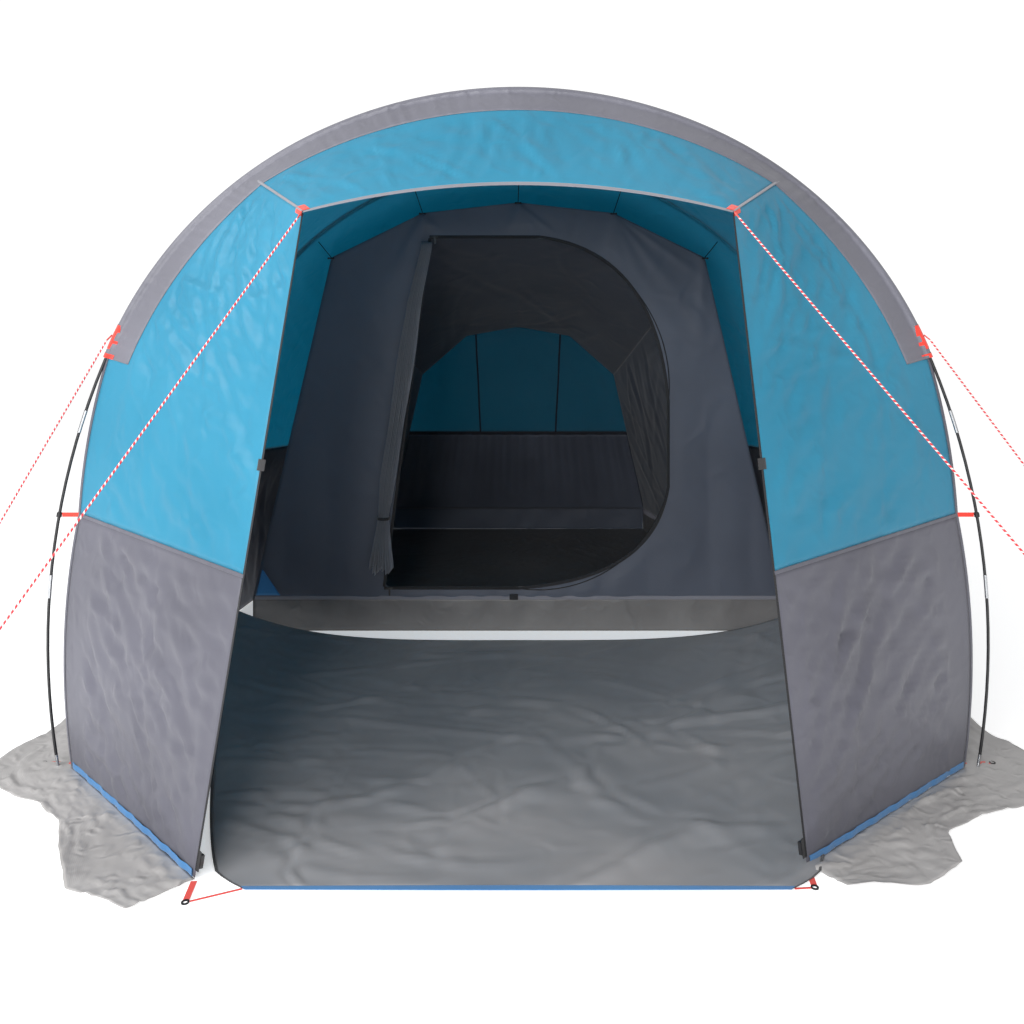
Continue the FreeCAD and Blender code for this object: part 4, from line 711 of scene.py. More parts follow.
# %% Awning and wings
s, share = grid(-SEAM_K, SEAM_K, 0.0, 1.0, 1.9, 0.55)
with_pulls(porch(s, share), "awning", BLUE, 5, "blue_polyester",
           [(peak(-1), 9, 0.006, 1.1, -0.9), (peak(1), 9, 0.006, 1.1, -2.2)], count=110, sag=0.004,
           lean=1.2, height=0.0042, width=0.012, swell=0.0015)
for name, side in (("left", -1), ("right", 1)):
    s, share = grid(side * SEAM_K, side * COLOUR_K, 0.0, 1.0, 1.35, 0.95)
    points = porch(s, share)
    with_pulls(points, "wing_upper_" + name, BLUE, 60 + side, "blue_polyester",
               [(peak(side), 9, 0.008, 1.3, -2.3),
                (fly(FRONT, np.array(side * 9.0)), 6, 0.006, 1.2, 0.9)],
               count=170, lean=1.0, spread=0.4, height=0.0042, length=0.40, width=0.012,
               swell=0.002)
    s, share = grid(side * COLOUR_K, side * BASE_K, 0.0, 1.0, 0.8, 0.95)
    points = porch(s, share)
    with_pulls(points, "wing_lower_" + name, GREY, 70 + side, "grey_polyester",
               [(CORNERS[side], 7, 0.010, 1.3, -2.6),
                (fly(FRONT, np.array(side * 12.9)), 5, 0.008, 1.2, 2.4)],
               count=150, lean=1.1, spread=0.45, height=0.0048, length=0.34, width=0.012,
               swell=0.002)

# %% [markdown]
# ## The rear
# The rear base runs straight across to two corners and slants up to the rear hoop. The upper panel
# is blue with a vent window, the lower one grey.

# %% Rear panels
REAR_CORNER, REAR_REACH, REAR_SPLIT = 0.9, 0.65, 0.70


def rear_line(s, z):
    """Rear cloth at a height: across to the corner, then straight to the rear hoop's leg."""
    side, k = np.where(s < 0, -1.0, 1.0), np.abs(s)
    back = REAR_Y + REAR_REACH * (1 - z / 1.64)
    share = np.minimum(k / SEAM_K, 1)
    flat = np.stack([side * share * REAR_CORNER, back, z + 0 * k], axis=-1)
    leg_k = np.clip(COLOUR_K + 2 * (1 - (z - HEM) / (REAR_SPLIT - HEM)), COLOUR_K, BASE_K)
    leg = fly(REAR, side * leg_k)
    leg[..., 2] = z
    out = np.clip((k - SEAM_K) / (COLOUR_K - SEAM_K), 0, 1)
    return mixed(flat, leg, out)


def rear_upper(s, share):
    return mixed(fly(REAR, s), rear_line(s, REAR_SPLIT + 0 * s), share)


VENT_TOP, VENT_LOW, VENT_K = 0.05, 0.21, 1.0
s, share = grid(-COLOUR_K, COLOUR_K, 0.0, 1.0, 4.2, 1.0)
columns = np.unique(np.concatenate([s[0], [-VENT_K, VENT_K]]))
rows = np.unique(np.concatenate([share[:, 0], [VENT_TOP, VENT_LOW]]))
s, share = np.meshgrid(columns, rows)
points = rear_upper(s, share)
shaped = worn(points, 81, 110, 0.007, lean=1.4, spread=0.4, sag=0.006, still=0.03, fade=0.05)
held_flat = (np.abs(s) < 1.6) & (share < 0.3)
shaped = np.where(held_flat[..., None], points, shaped)
REAR_PANEL_K, rear_panel = s[0], shaped


def window_piece(name, points, inside, material, replaces):
    """Panel with the cells of a window left out."""
    item = piece(name, points, material, replaces)
    mesh = item.data
    middles = np.empty(len(mesh.polygons) * 3)
    mesh.polygons.foreach_get("center", middles)
    cells = inside[:-1, :-1] & inside[1:, 1:] & inside[:-1, 1:] & inside[1:, :-1]
    work = bmesh.new()
    work.from_mesh(mesh)
    work.faces.ensure_lookup_table()
    gone = [work.faces[i] for i in np.flatnonzero(cells.ravel())]
    bmesh.ops.delete(work, geom=gone, context="FACES")
    work.to_mesh(mesh)
    work.free()
    return item


in_window = (np.abs(s) <= VENT_K + 1e-9) & (share >= VENT_TOP - 1e-9) & (share <= VENT_LOW + 1e-9)
cut(window_piece("rear_panel_upper", shaped, in_window, BLUE,
                 ["rear_panel_upper"]))
s, z = grid(-COLOUR_K, COLOUR_K, REAR_SPLIT, HEM, 3.3, 0.75)
fly_piece("rear_panel_lower", rear_line(s, z), GREY, 83, "grey_polyester", held="hung", count=80,
          height=0.006, lean=math.pi / 2, spread=0.4)

# %% [markdown]
# ## The vent
# Mesh closes the window. A hood of fly cloth with a wire in its brim keeps the rain out; it
# hinges on its upper seam, so it rides on its own body.

# %% Vent mesh and hood
s, share = grid(-VENT_K, VENT_K, VENT_TOP, VENT_LOW, 0.5, 0.17)
points = rear_upper(s, share)
item = piece("vent_mesh", points - grid_normals(points) * 0.003, MESH, ["vent_mesh"],
             thick=0.0006)
cut(item)
hood_low, hood_high = (np.array(v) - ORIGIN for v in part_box("vent_hood"))
s, t = grid(-1.0, 1.0, 0.0, 1.0, 0.52, 0.2)
half = (hood_high[0] - hood_low[0]) / 2
top = np.array([0.0, hood_low[1] + 0.001, hood_high[2] - 0.001])
end = np.array([0.0, hood_high[1] - 0.003, hood_low[2] + 0.003])
points = top + (end - top) * t[..., None] + np.stack([s * half, 0 * s, 0 * s], axis=-1)
points[..., 2] += 0.006 * np.sin(np.pi * t) * np.cos(s * 1.2)
item = fly_piece("vent_hood", points, BLUE, 91, "blue_polyester", count=14, height=0.002,
                 length=0.12, body="vent_hood", away=(0, hood_low[1] - 0.5, hood_low[2]))
angle = np.linspace(0, 2 * np.pi, 16, endpoint=False)[None, :]
x = np.linspace(-half, half, 60)[:, None]
brim = np.stack([x + 0 * angle, end[1] + 0.003 * np.cos(angle) + 0 * x,
                 end[2] + 0.003 * np.sin(angle) + 0 * x], axis=-1)
piece("vent_hood_brim", brim, BINDING_GREY, [], "vent_hood", thick=0, closed=True)

# %% [markdown]
# ## Sleeves
# A pole runs in a tunnel of grey cloth. Across the pole its height over the fly is a bell
# 13 mm high; along the pole the stitching gathers it into small puckers. The front sleeve has a
# broad band that reaches forward over the porch.

# %% Sleeves
LAP = 0.028
BELL_HEIGHT, BELL_HALF = 0.0128, 0.0125


def over_the_pole(offset):
    """Height of a bell over the pole: h exp(-(offset / half width) cubed)."""
    return BELL_HEIGHT * np.exp(-(np.abs(offset) / BELL_HALF) ** 3)


def sleeve(name, surface, first, last, seed):
    """Band along a hoop; surface(s, offset) gives the fly, offsets run across the pole."""
    over_pole, whole_band = np.linspace(-0.026, 0.026, 23), np.linspace(first, last, 12)
    across = np.unique(np.concatenate([over_pole, whole_band]))
    s = steps(-SLEEVE_K, SLEEVE_K, 5.2)[:, None] + 0 * across[None, :]
    offset = across[None, :] + 0 * s
    points = surface(s, offset)
    bell = 0.0016 + over_the_pole(offset)
    a, b = measure(points)
    rng = np.random.default_rng(seed)
    pucker = np.zeros_like(bell)
    for number in range(9):
        pucker += np.sin(b * 2 * math.pi / rng.uniform(0.035, 0.11) + rng.uniform(0, 6.28))
    free = np.clip(np.minimum(offset - first, last - offset) / 0.02, 0, 1)
    lift = bell + 0.0011 * np.abs(pucker) * free * (np.abs(offset) > 0.008)
    item = piece(name, points + grid_normals(points) * lift[..., None], SLEEVE, [name],
                 thick=0.0008)
    cut(item)
    return item


def round_front(s, offset):
    reach = np.linalg.norm(front_edge(s) - fly(FRONT, s), axis=-1)
    ahead = porch(s, np.clip(-offset, 0, None) / reach)
    behind = bay(s, np.clip(offset, 0, None))
    return np.where((offset < 0)[..., None], ahead, behind)


def round_rear(s, offset):
    reach = np.linalg.norm(rear_line(s, REAR_SPLIT + 0 * s) - fly(REAR, s), axis=-1)
    behind = rear_upper(s, np.clip(offset, 0, None) / reach)
    ahead = bay(s, REAR_Y + np.clip(offset, None, 0))
    return np.where((offset > 0)[..., None], behind, ahead)


sleeve("front_sleeve", round_front, -BAND, LAP, 101)
sleeve("middle_sleeve", lambda s, offset: bay(s, MIDDLE_Y + offset), -LAP, LAP, 102)
sleeve("rear_sleeve", round_rear, -LAP, LAP, 103)

# %% [markdown]
# ## Bindings and felled seams
# Cut edges are folded into tape, and two panels meet in a felled seam, a flat ridge 10 mm wide with
# a line of stitches at each side. One ribbon function makes them all: it lies on a line of the
# fly, a little proud, with rounded sides.

# %% Ribbons
TAPE_HALF = 0.0012


def ribbon(name, line, out, across, width, material, replaces=(), proud=0.001):
    """Flat tape: line of points, outward and sideways directions, elliptical cross-section."""
    t = np.linspace(0, 2 * np.pi, 14, endpoint=False)[None, :, None]
    line, out, across = (np.asarray(v, float)[:, None, :] for v in (line, out, across))
    runs = np.linalg.norm(np.diff(line[:, 0], axis=0), axis=1)
    runs = np.concatenate([[0.0], np.cumsum(runs)])[:, None]
    flat = np.sign(np.cos(t)) * np.abs(np.cos(t)) ** 0.5
    high = np.sign(np.sin(t)) * np.abs(np.sin(t)) ** 0.7
    points = line + out * (proud + TAPE_HALF * high) + across * flat * width / 2
    uv = (t[..., 0] * width / np.pi + 0 * runs, runs + 0 * t[..., 0])
    return piece(name, points, material, replaces, thick=0, closed=True, uv=uv)


def along(line):
    way = np.gradient(np.asarray(line), axis=0)
    return way / np.linalg.norm(way, axis=1, keepdims=True)


def seam_on(name, surface_line, beside_line, width, material, replaces=(), proud=0.001):
    """Ribbon over a seam; the line beside it gives the cloth's direction."""
    line = np.asarray(surface_line)
    way = along(line)
    side = np.asarray(beside_line) - line
    side -= way * (side * way).sum(axis=1, keepdims=True)
    side /= np.linalg.norm(side, axis=1, keepdims=True)
    out = np.cross(way, side)
    out *= np.sign(((line - HEART) * out).sum(axis=1, keepdims=True))
    return ribbon(name, line, out, side, width, material, replaces, proud)


count = 90
whole = np.linspace(-SEAM_K, SEAM_K, count)
hem_line = front_edge(whole)
seam_on("awning_piping", hem_line, porch(whole, np.full(count, 0.9)), 0.015, BINDING_GREY,
        ["awning_piping"], 0.0)
for name, side in (("left", -1), ("right", 1)):
    share = np.linspace(0.16, 1.0, 40)
    k4 = np.full(40, side * 4.0)
    seam_on("awning_seam_" + name, porch(k4, share), porch(k4 * 0.98, share), 0.009, BINDING_GREY,
            proud=0.0015)
    share = np.linspace(0.0, 1.0, 50)
    seam_on("wing_seam_" + name, porch(np.full(50, side * 11.0), share),
            porch(np.full(50, side * 10.9), share), 0.011, GREY, proud=0.0012)
    y = np.linspace(0.0, REAR_Y, 120)
    seam_on("wall_seam_" + name, bay(np.full(120, side * 11.0), y),
            bay(np.full(120, side * 10.9), y), 0.011, GREY, proud=0.0012)
    edge = np.linspace(SLEEVE_K, BASE_K, 60) * side
    seam_on("wing_rear_edge_" + name, fly(FRONT, edge), porch(edge, np.full(60, 0.02)), 0.012, GREY,
            proud=0.0012)
    edge = np.linspace(4.05, 12.95, 120) * side
    seam_on("zip_tape_" + name, front_edge(edge), porch(edge, np.full(120, 0.98)), 0.0075, COIL,
            ["front_zip_" + name], proud=0.0008)
s = np.linspace(-10.9, 10.9, 160)
seam_on("rear_seam", rear_line(s, np.full(160, REAR_SPLIT)),
        rear_line(s, np.full(160, REAR_SPLIT - 0.02)), 0.011, GREY, proud=0.0012)
trim = []
for side in (-1, 1):
    pole_foot = np.array([fly(FRONT, np.array(side * 13.0))])
    line = mixed(pole_foot, CORNERS[side][None], np.linspace(0.01, 0.985, 60))
    line = line + np.array([0, 0, 0.0085])
    way = along(line)
    out = np.cross(way, [0, 0, 1.0])
    out *= np.sign((out[:, 0] * side)[:, None])
    a = np.linspace(0, 1, 60)[:, None]
    wave = 0.0015 * np.sin(a * 43) + 0.001 * np.sin(a * 91 + side)
    trim.append((line + out * wave, out))
for name, (line, out) in zip(("left", "right"), trim):
    ribbon("base_trim_" + name, line, out, np.tile([0, 0, 1.0], (60, 1)), 0.020, BINDING_BLUE,
           ["base_trim"], 0.0018)

# %% [markdown]
# ## Mud skirts
# A strip of woven polyethylene is sewn to the foot of the fly and lies on the ground, where soil is
# put on it. It has been folded many times and crackles into facets, and its free edge curls.

# %% Skirts
def skirt(name, corners, widths, side, seed):
    """Strip beside a line on the ground; widths are (share along, share of 200 mm)."""
    corners = np.asarray(corners)
    runs = np.concatenate([[0.0], np.cumsum(np.linalg.norm(np.diff(corners, axis=0), axis=1))])
    spots = steps(0, runs[-1], runs[-1])
    line = np.column_stack([np.interp(spots, runs, corners[:, i]) for i in range(2)])
    smooth = np.arange(-6, 7) / 6.0
    bell = np.exp(-smooth ** 2 * 2)
    bell /= bell.sum()
    rounded = [np.convolve(np.pad(line[:, i], 6, "edge"), bell, "valid") for i in range(2)]
    way = along(np.column_stack(rounded))
    out = np.column_stack([way[:, 1], -way[:, 0]]) * side
    width = 0.2 * np.interp(spots / runs[-1], *np.array(widths).T)
    rng = np.random.default_rng(seed)
    marks = np.arange(0, runs[-1] + 0.06, 0.03)
    width = width + 0.0015 * np.interp(spots, marks, rng.normal(0, 1, len(marks)))
    t = np.linspace(0, 1, 26)[None, :]
    plan = line[:, None] + out[:, None] * (width[:, None] * t)[..., None]
    a, b = t * 0.2 + 0 * spots[:, None], spots[:, None] + 0 * t
    crumple = np.abs(creases(a, b, seed, 260, 0.007, lean=0.3, spread=1.2, length=0.09,
                             width=0.010))
    curl = 0.010 * np.clip(t - 0.75, 0, 1) / 0.25 * (0.5 + 0.5 * np.sin(b * 17 + 2 * np.sin(b * 5)))
    height = 0.0012 + (crumple + curl) * np.clip(t * 6, 0, 1)
    points = np.concatenate([plan, height[..., None]], axis=-1)
    item = piece(name, points, SKIRT, [name], away=(0, 1, -5), thick=0.0006,
                 uv=(a, b))
    item.modifiers["thickness"].offset = 1.0
    return cut(item)


FREE_LEFT = [(0.0, 0.9), (0.05, 1.25), (0.10, 1.0), (0.135, 0.75), (0.18, 0.8), (0.23, 1.3),
             (0.30, 0.95), (0.42, 1.1), (0.55, 0.9), (0.68, 1.05), (0.8, 0.9), (0.92, 1.05),
             (1.0, 0.85)]
FREE_RIGHT = [(0.0, 0.6), (0.04, 1.2), (0.08, 1.3), (0.11, 0.8), (0.15, 0.85), (0.22, 1.35),
              (0.29, 1.0), (0.4, 0.9), (0.53, 1.1), (0.66, 0.9), (0.8, 1.05), (0.9, 0.9),
              (1.0, 0.9)]
FREE_REAR = [(0.0, 0.85), (0.12, 1.05), (0.24, 1.15), (0.38, 0.9), (0.5, 1.05), (0.62, 0.9),
             (0.76, 1.15), (0.88, 1.0), (1.0, 0.9)]
for name, side, widths in (("left", -1, FREE_LEFT), ("right", 1, FREE_RIGHT)):
    feet = [CORNERS[side]] + [fly(hoop, np.array(side * 13.0)) for hoop in (FRONT, MIDDLE, REAR)]
    skirt("skirt_" + name, [foot[:2] for foot in feet], widths, side, 120 + side)
foot_x = float(fly(REAR, np.array(13.0))[0])
skirt("skirt_rear", [(-foot_x, REAR_Y), (-REAR_CORNER, REAR_Y + REAR_REACH),
                     (REAR_CORNER, REAR_Y + REAR_REACH), (foot_x, REAR_Y)], FREE_REAR, -1, 125)

# %% [markdown]
# ## Inner tent
# A dark breathable tent hangs inside the fly from elastic hangers. Its cross-section is a few
# straight facets, because it is only pulled at its seams. The front wall is a surface
# between two closed lines, the doorway and the wall's rim, joined along rays from the middle.

# %% Inner tent surfaces
INNER_Y = MIDDLE_Y + 0.020
FRONT_PROFILE = np.array([(1.25, 0.156), (0.88, 1.76), (0.45, 1.97), (0.0, 2.02)])
REAR_PROFILE = np.array([(0.89, 0.156), (0.64, 1.12), (0.34, 1.38), (0.0, 1.44)])


def inner_back(z):
    return INNER_Y + 1.69 + 0.50 * (1 - z / 1.44)


def inner(side, g, share):
    """Wall and ceiling: facet number g, 0 at the floor and 3 at the ridge; share runs rearwards."""
    marks = np.arange(4)
    x0, z0 = np.interp(g, marks, FRONT_PROFILE[:, 0]), np.interp(g, marks, FRONT_PROFILE[:, 1])
    x1, z1 = np.interp(g, marks, REAR_PROFILE[:, 0]), np.interp(g, marks, REAR_PROFILE[:, 1])
    start = np.stack([side * x0, INNER_Y + 0.002 + 0 * g, z0], axis=-1)
    end = np.stack([side * x1, inner_back(z1) - 0.002, z1], axis=-1)
    return mixed(start, end, share)


INNER_HEART = (0.0, INNER_Y + 0.9, 0.7)
for name, side in (("left", -1), ("right", 1)):
    g, share = grid(0.0, 1.0, 0.0, 1.0, 1.4, 1.9)
    points = inner(side, g, share)
    fly_piece("inner_side_" + name, points, INNER, 140 + side, "inner_polyester", held="hung",
              away=INNER_HEART, count=40, height=0.006, length=0.4, lean=0.3)
s, share = grid(-2.0, 2.0, 0.0, 1.0, 1.9, 1.9)
side, g = np.where(s < 0, -1.0, 1.0), 3 - np.abs(s)
fly_piece("inner_ceiling", inner(side, g, share), INNER, 145, "inner_polyester", held="hung",
          away=INNER_HEART, count=40, height=0.006, sag=0.012, length=0.4)


def inner_rear(u, g):
    x, z = (np.interp(g, np.arange(4), REAR_PROFILE[:, i]) for i in range(2))
    return np.stack([u * x, inner_back(z), z], axis=-1)


SPLIT_G = (0.70 - 0.156) / (1.12 - 0.156)
u, g = grid(-1.0, 1.0, 0.0, SPLIT_G, 1.8, 0.6)
points = inner_rear(u, g)
a, b = measure(points)
pleats = 0.010 * np.sin(a * 2 * math.pi / 0.11 + 1.5 * np.sin(a * 3.1)) * np.clip(b / 0.25, 0, 1)
pleats *= edge_fade(a, b, 0.05, "lrt")
shaped = points + grid_normals(points, INNER_HEART) * pleats[..., None]
cut(piece("inner_rear_wall", shaped, INNER, ["inner_rear_wall"],
          away=INNER_HEART))
u, g = grid(-1.0, 1.0, SPLIT_G, 3.0, 1.7, 0.9)
fly_piece("inner_rear_mesh", inner_rear(u, g), MESH, 147, "black_mesh", held="hung",
          away=INNER_HEART, count=16, height=0.003, length=0.3)
for name, k in (("left", -1.15), ("right", 1.15)):
    column = int(np.abs(REAR_PANEL_K - k).argmin())
    seam_on("rear_vent_seam_" + name, rear_panel[2:, column], rear_panel[2:, column + 1], 0.012,
            BINDING_BLACK, proud=-0.0028)

# %% [markdown]
# The doorway is a lopsided D: a slanting straight side where the door is sewn on, a round lower
# right corner and a round top. Its zip is sewn on a black tape 22 mm wide.

# %% Front wall with its doorway
DOOR_LOW, DOOR_TOP = 0.21, 1.85
HANGING = [(-0.88, 1.76), (-0.45, 1.97), (0.0, 2.02), (0.45, 1.97), (0.88, 1.76)]


def quarter(x0, z0, x1, z1, bulge, number=24):
    """Round corner through a middle point, as a quadratic bend with its control point."""
    middle = np.array([x0 + (x1 - x0) * bulge[0], z0 + (z1 - z0) * bulge[1]])
    first, last = np.array([x0, z0]), np.array([x1, z1])
    control = 2 * middle - (first + last) / 2
    t = np.linspace(0, 1, number)[:, None]
    return (1 - t) ** 2 * first + 2 * t * (1 - t) * control + t ** 2 * last


def door_outline(grow):
    """Open zip path from the lower left to the upper left, (x, z)."""
    low, top, right = DOOR_LOW - grow, DOOR_TOP + grow, 0.70 + grow
    bottom = np.column_stack([np.linspace(-0.624 - grow, 0.0, 30), np.full(30, low)])
    upper = np.column_stack([np.linspace(0.10, -0.41 - grow, 24), np.full(24, top)])
    return np.concatenate([bottom, quarter(0.0, low, right, 0.68, (0.707, 0.293)),
                           np.column_stack([np.full(16, right), np.linspace(0.70, 1.06, 16)]),
                           quarter(right, 1.08, 0.10, top, (0.293, 0.707)), upper])


def closed_line(points, number):
    """Evenly spaced points round a closed line, by angle about the doorway's middle."""
    centre = np.array([0.0, 1.0])
    ring = np.concatenate([points, points[:1]])
    runs = np.concatenate([[0.0], np.cumsum(np.linalg.norm(np.diff(ring, axis=0), axis=1))])
    spots = np.linspace(0, runs[-1], 4000)
    dense = np.column_stack([np.interp(spots, runs, ring[:, i]) for i in range(2)]) - centre
    angle, radius = np.arctan2(dense[:, 1], dense[:, 0]), np.linalg.norm(dense, axis=1)
    order = np.argsort(angle)
    want = np.linspace(-np.pi, np.pi, number, endpoint=False)
    found = np.interp(want, angle[order], radius[order], period=2 * np.pi)
    return centre + np.column_stack([np.cos(want), np.sin(want)]) * found[:, None]


rim = np.array([(-x, z) for x, z in FRONT_PROFILE[:3]] + [(0.0, 2.02)]
               + [(x, z) for x, z in FRONT_PROFILE[2::-1]])
AROUND = 420
door_ring, rim_ring = closed_line(door_outline(0.0), AROUND), closed_line(rim, AROUND)
v = np.linspace(0, 1, 34)[:, None, None]
flat = door_ring[None] + (rim_ring - door_ring)[None] * v
points = np.stack([flat[..., 0], np.full(flat.shape[:2], INNER_Y), flat[..., 1]], axis=-1)
lateral, height = points[..., 0], points[..., 2]
pull = np.zeros_like(lateral)
for number, (x, z) in enumerate(HANGING):
    dx, dz = lateral - x, z - height
    for ray in range(5):
        lean = (ray - 2) * 0.28 + 0.13 * number
        off = dx - dz * math.tan(lean)
        pull += 0.008 * np.exp(-(off / (0.012 + 0.10 * dz)) ** 2) * np.exp(-(dz / 0.35) ** 2)
drape = 0.011 * np.sin(lateral * 19 + 2 * np.sin(lateral * 4.3))
drape *= np.clip((1.2 - height) / 1.0, 0, 1)
from_door = np.linalg.norm(flat - door_ring[None], axis=2)
fade = np.sin(np.pi * v[..., 0]) ** 0.6 * np.clip((from_door - 0.020) / 0.05, 0, 1)
points[..., 1] -= np.abs((pull + drape) * fade) * 0.9
item = piece("inner_front_wall", points, INNER, ["inner_front_wall"],
             closed=True, faces_out=True, thick=0.0006)


def wall_tape(name, x, z, width, material, slot):
    """Tape on the front wall's outer face, along a line of x and z."""
    line = np.column_stack([x, np.full(len(x), INNER_Y - WALL_FACE), z])
    out = np.tile([0, -1.0, 0], (len(line), 1))
    ribbon(name, line, out, np.cross(along(line), out), width, material)


WALL_FACE = 0.0015
wall_tape("inner_zip_tape", *door_outline(0.007).T, 0.015, BINDING_BLACK, "zip_black")
wall_tape("inner_door_hinge", np.linspace(-0.631, -0.416, 60), np.linspace(DOOR_LOW, DOOR_TOP, 60),
          0.014, BINDING_BLACK, "inner_polyester")
wall_tape("inner_sill_binding", np.linspace(-1.24, 1.24, 90), np.full(90, 0.158), 0.018,
          BINDING_GREY, "pe_floor")

# %% [markdown]
# ## Floor and groundsheet
# The inner tent's floor is a tub of woven polyethylene whose edges turn up. The groundsheet in the
# porch is a separate sheet with blue binding, toggled to the floor and tied to the doorway's feet.

# %% Tub floor
def tub(u, share):
    """u from -1 to 1 across the bottom, and past it up the sides."""
    half = 1.25 + (0.89 - 1.25) * share
    flat_u, up = np.clip(u, -1, 1), np.clip(np.abs(u) - 1, 0, None) * half
    y = INNER_Y + 0.003 + (inner_back(0.0) - INNER_Y - 0.006) * share
    return np.stack([flat_u * half, y, 0.0012 + up], axis=-1)


turned_up = np.linspace(1, 1.1248, 8)
u_line = np.unique(np.concatenate([steps(-1, 1, 2.3), turned_up, -turned_up]))
u, share = np.meshgrid(u_line, steps(0, 1, 2.1))
points = tub(u, share)
a, b = measure(points)
crackle = np.abs(creases(a, b, 150, 160, 0.005, spread=1.4, length=0.18, width=0.02))
points[..., 2] += crackle * (np.abs(u) < 0.99)
item = piece("inner_floor_tub", points, TUB, ["inner_floor"], thick=0.0006,
             away=(0, 2.2, 5.0))
item.modifiers["thickness"].offset = 1.0
cut(item)
for name, half, y in (("front", 1.25, INNER_Y + 0.001), ("rear", 0.89, inner_back(0.0))):
    x, z = grid(-half, half, 0.001, 0.157, 2 * half, 0.156)
    points = np.stack([x, y + 0 * x, z], axis=-1)
    points[..., 1] += 0.004 * np.sin(x * 23 + np.sin(x * 7) * 2) * np.sin(np.pi * z / 0.157)
    # the rear sill is part of the tub too, but it is drawn in the inner cloth's darker colour as
    # painted shade for the shaded back of the tent; in the floor's own pale finish it showed as a
    # bright strip across the back
    finish = TUB if name == "front" else INNER
    item = piece("inner_sill_" + name, points, finish, [], away=INNER_HEART)
    cut(item)


# %% [markdown]
# The groundsheet lies loose on the ground. Its front corners are cut off, it widens to the wings'
# foot, and its rear corners are pulled up a little.

# %% Groundsheet
def groundsheet(u, share):
    corner = np.clip(share / 0.035, 0, 1)
    half = 0.70 + 0.045 * corner * (1 - share) + (1.29 - 0.70) * share ** 0.78
    lift = 0.14 * np.abs(u) ** 4 * share ** 1.6
    return np.stack([u * half, -0.64 + 1.84 * share, 0.0012 + lift], axis=-1)


u, share = grid(-1.0, 1.0, 0.0, 1.0, 2.4, 1.84)
flat = groundsheet(u, share)
a, b = measure(flat)
ripple = np.abs(creases(a, b, 160, 90, 0.010, lean=0.2, spread=0.9, length=0.35, width=0.028))
ripple += 0.5 * np.abs(swells(a, b, 161, 0.35, 0.006)) * np.clip(b / 0.2, 0, 1)
points = flat + np.stack([0 * u, 0 * u, ripple * edge_fade(a, b, 0.03)], axis=-1)
item = piece("vestibule_groundsheet", points, GROUNDSHEET, ["vestibule_groundsheet"],
             thick=0.0006, away=(0, 0.4, -5))
item.modifiers["thickness"].offset = 1.0
cut(item)
for name, u, share in (("front", np.linspace(-1, 1, 80), np.zeros(80)),
                       ("left", np.full(80, -1.0), np.linspace(0, 1, 80)),
                       ("right", np.full(80, 1.0), np.linspace(0, 1, 80))):
    line = groundsheet(u, share) + [0, 0, 0.0015]
    beside = groundsheet(u * 0.98, share + (0.02 if name == "front" else 0.0))
    side = beside - line
    side /= np.linalg.norm(side, axis=1, keepdims=True)
    up = np.cross(along(line), side)
    up *= np.sign(up[:, 2:3])
    tape = BINDING_BLUE if name == "front" else BINDING_BLACK
    wide = 0.022 if name == "front" else 0.008
    ribbon("groundsheet_binding_" + name, line, up, side, wide, tape)

# %% [markdown]
# ## Doors out of the way
# The front door is rolled up under the awning: a spiral of cloth about 9 turns thick. The inner
# door is gathered like a curtain: its cloth goes to and fro in narrow pleats.

# %% Rolled front door
spin = np.linspace(0, 9 * 2 * np.pi, 260)[None, :]
reach = 0.007 + 0.031 * spin / spin.max()
s_line = np.linspace(-3.2, 3.2, 70)
under = porch(s_line, np.full(70, 0.58))
normal = grid_normals(porch(*np.meshgrid(s_line, [0.55, 0.58, 0.61])))[1]
centre = under - normal * 0.0594
way = along(centre)
level = np.cross(way, normal)
wobble = 1 + 0.06 * np.sin(s_line * 9)[:, None] + 0.03 * np.sin(s_line * 23 + 1)[:, None]
turn = normal[:, None] * np.cos(spin)[..., None] + level[:, None] * np.sin(spin)[..., None]
points = centre[:, None] + turn * (reach * wobble)[..., None]
item = piece("front_door_roll", points, BLUE, ["front_door_roll"], thick=0.0004,
             faces_out=True)
cut(item)
for name, s_at in (("left", -2.6), ("middle", 0.0), ("right", 2.6)):
    row = int(np.abs(s_line - s_at).argmin())
    t = np.linspace(0, 2 * np.pi, 60)
    loop = (centre[row] + (normal[row] * np.cos(t)[:, None] * 0.045
                           + level[row] * np.sin(t)[:, None] * 0.0425))
    out = loop - centre[row]
    out /= np.linalg.norm(out, axis=1, keepdims=True)
    ribbon("door_tie_" + name, loop, out, np.tile(way[row], (60, 1)), 0.012, BINDING_BLACK,
           ["door_ties"], 0.0)

# %% [markdown]
# Gathering is a sine that swings the cloth from front to back as it goes across; the tie at knee
# height squeezes it, and below the tie it flares.

# %% Gathered inner door
GATHER = np.array([(-0.430, 1.800, 0.024), (-0.482, 1.560, 0.036), (-0.552, 1.090, 0.040),
                   (-0.610, 0.716, 0.034), (-0.630, 0.538, 0.026), (-0.636, 0.330, 0.058)])
z = np.linspace(1.83, 0.30, 90)[:, None]
order = np.argsort(GATHER[:, 1])
cx, radius = (np.interp(z, GATHER[order, 1], GATHER[order, i]) for i in (0, 2))
t = np.linspace(0, 1, 420)[None, :]
oval = np.sqrt(np.clip(1 - (2 * t - 1) ** 2, 0, 1))
rng = np.random.default_rng(170)
depth = 0.62 + 0.38 * np.interp(t, np.linspace(0, 1, 19), rng.random(19))
drift = 0.15 * np.sin(z * 7 + t * 5)
fold = np.sin(t * 19 * np.pi + drift + 0.6 * np.sin(t * 23))
points = np.stack([cx + radius * (2 * t - 1) * (1 + 0.08 * np.sin(z * 11)),
                   INNER_Y - radius - 0.001 + radius * 0.94 * oval * depth * fold,
                   z + 0.012 * np.sin(t * 13 + 1) * (z < 0.6) + 0 * t], axis=-1)
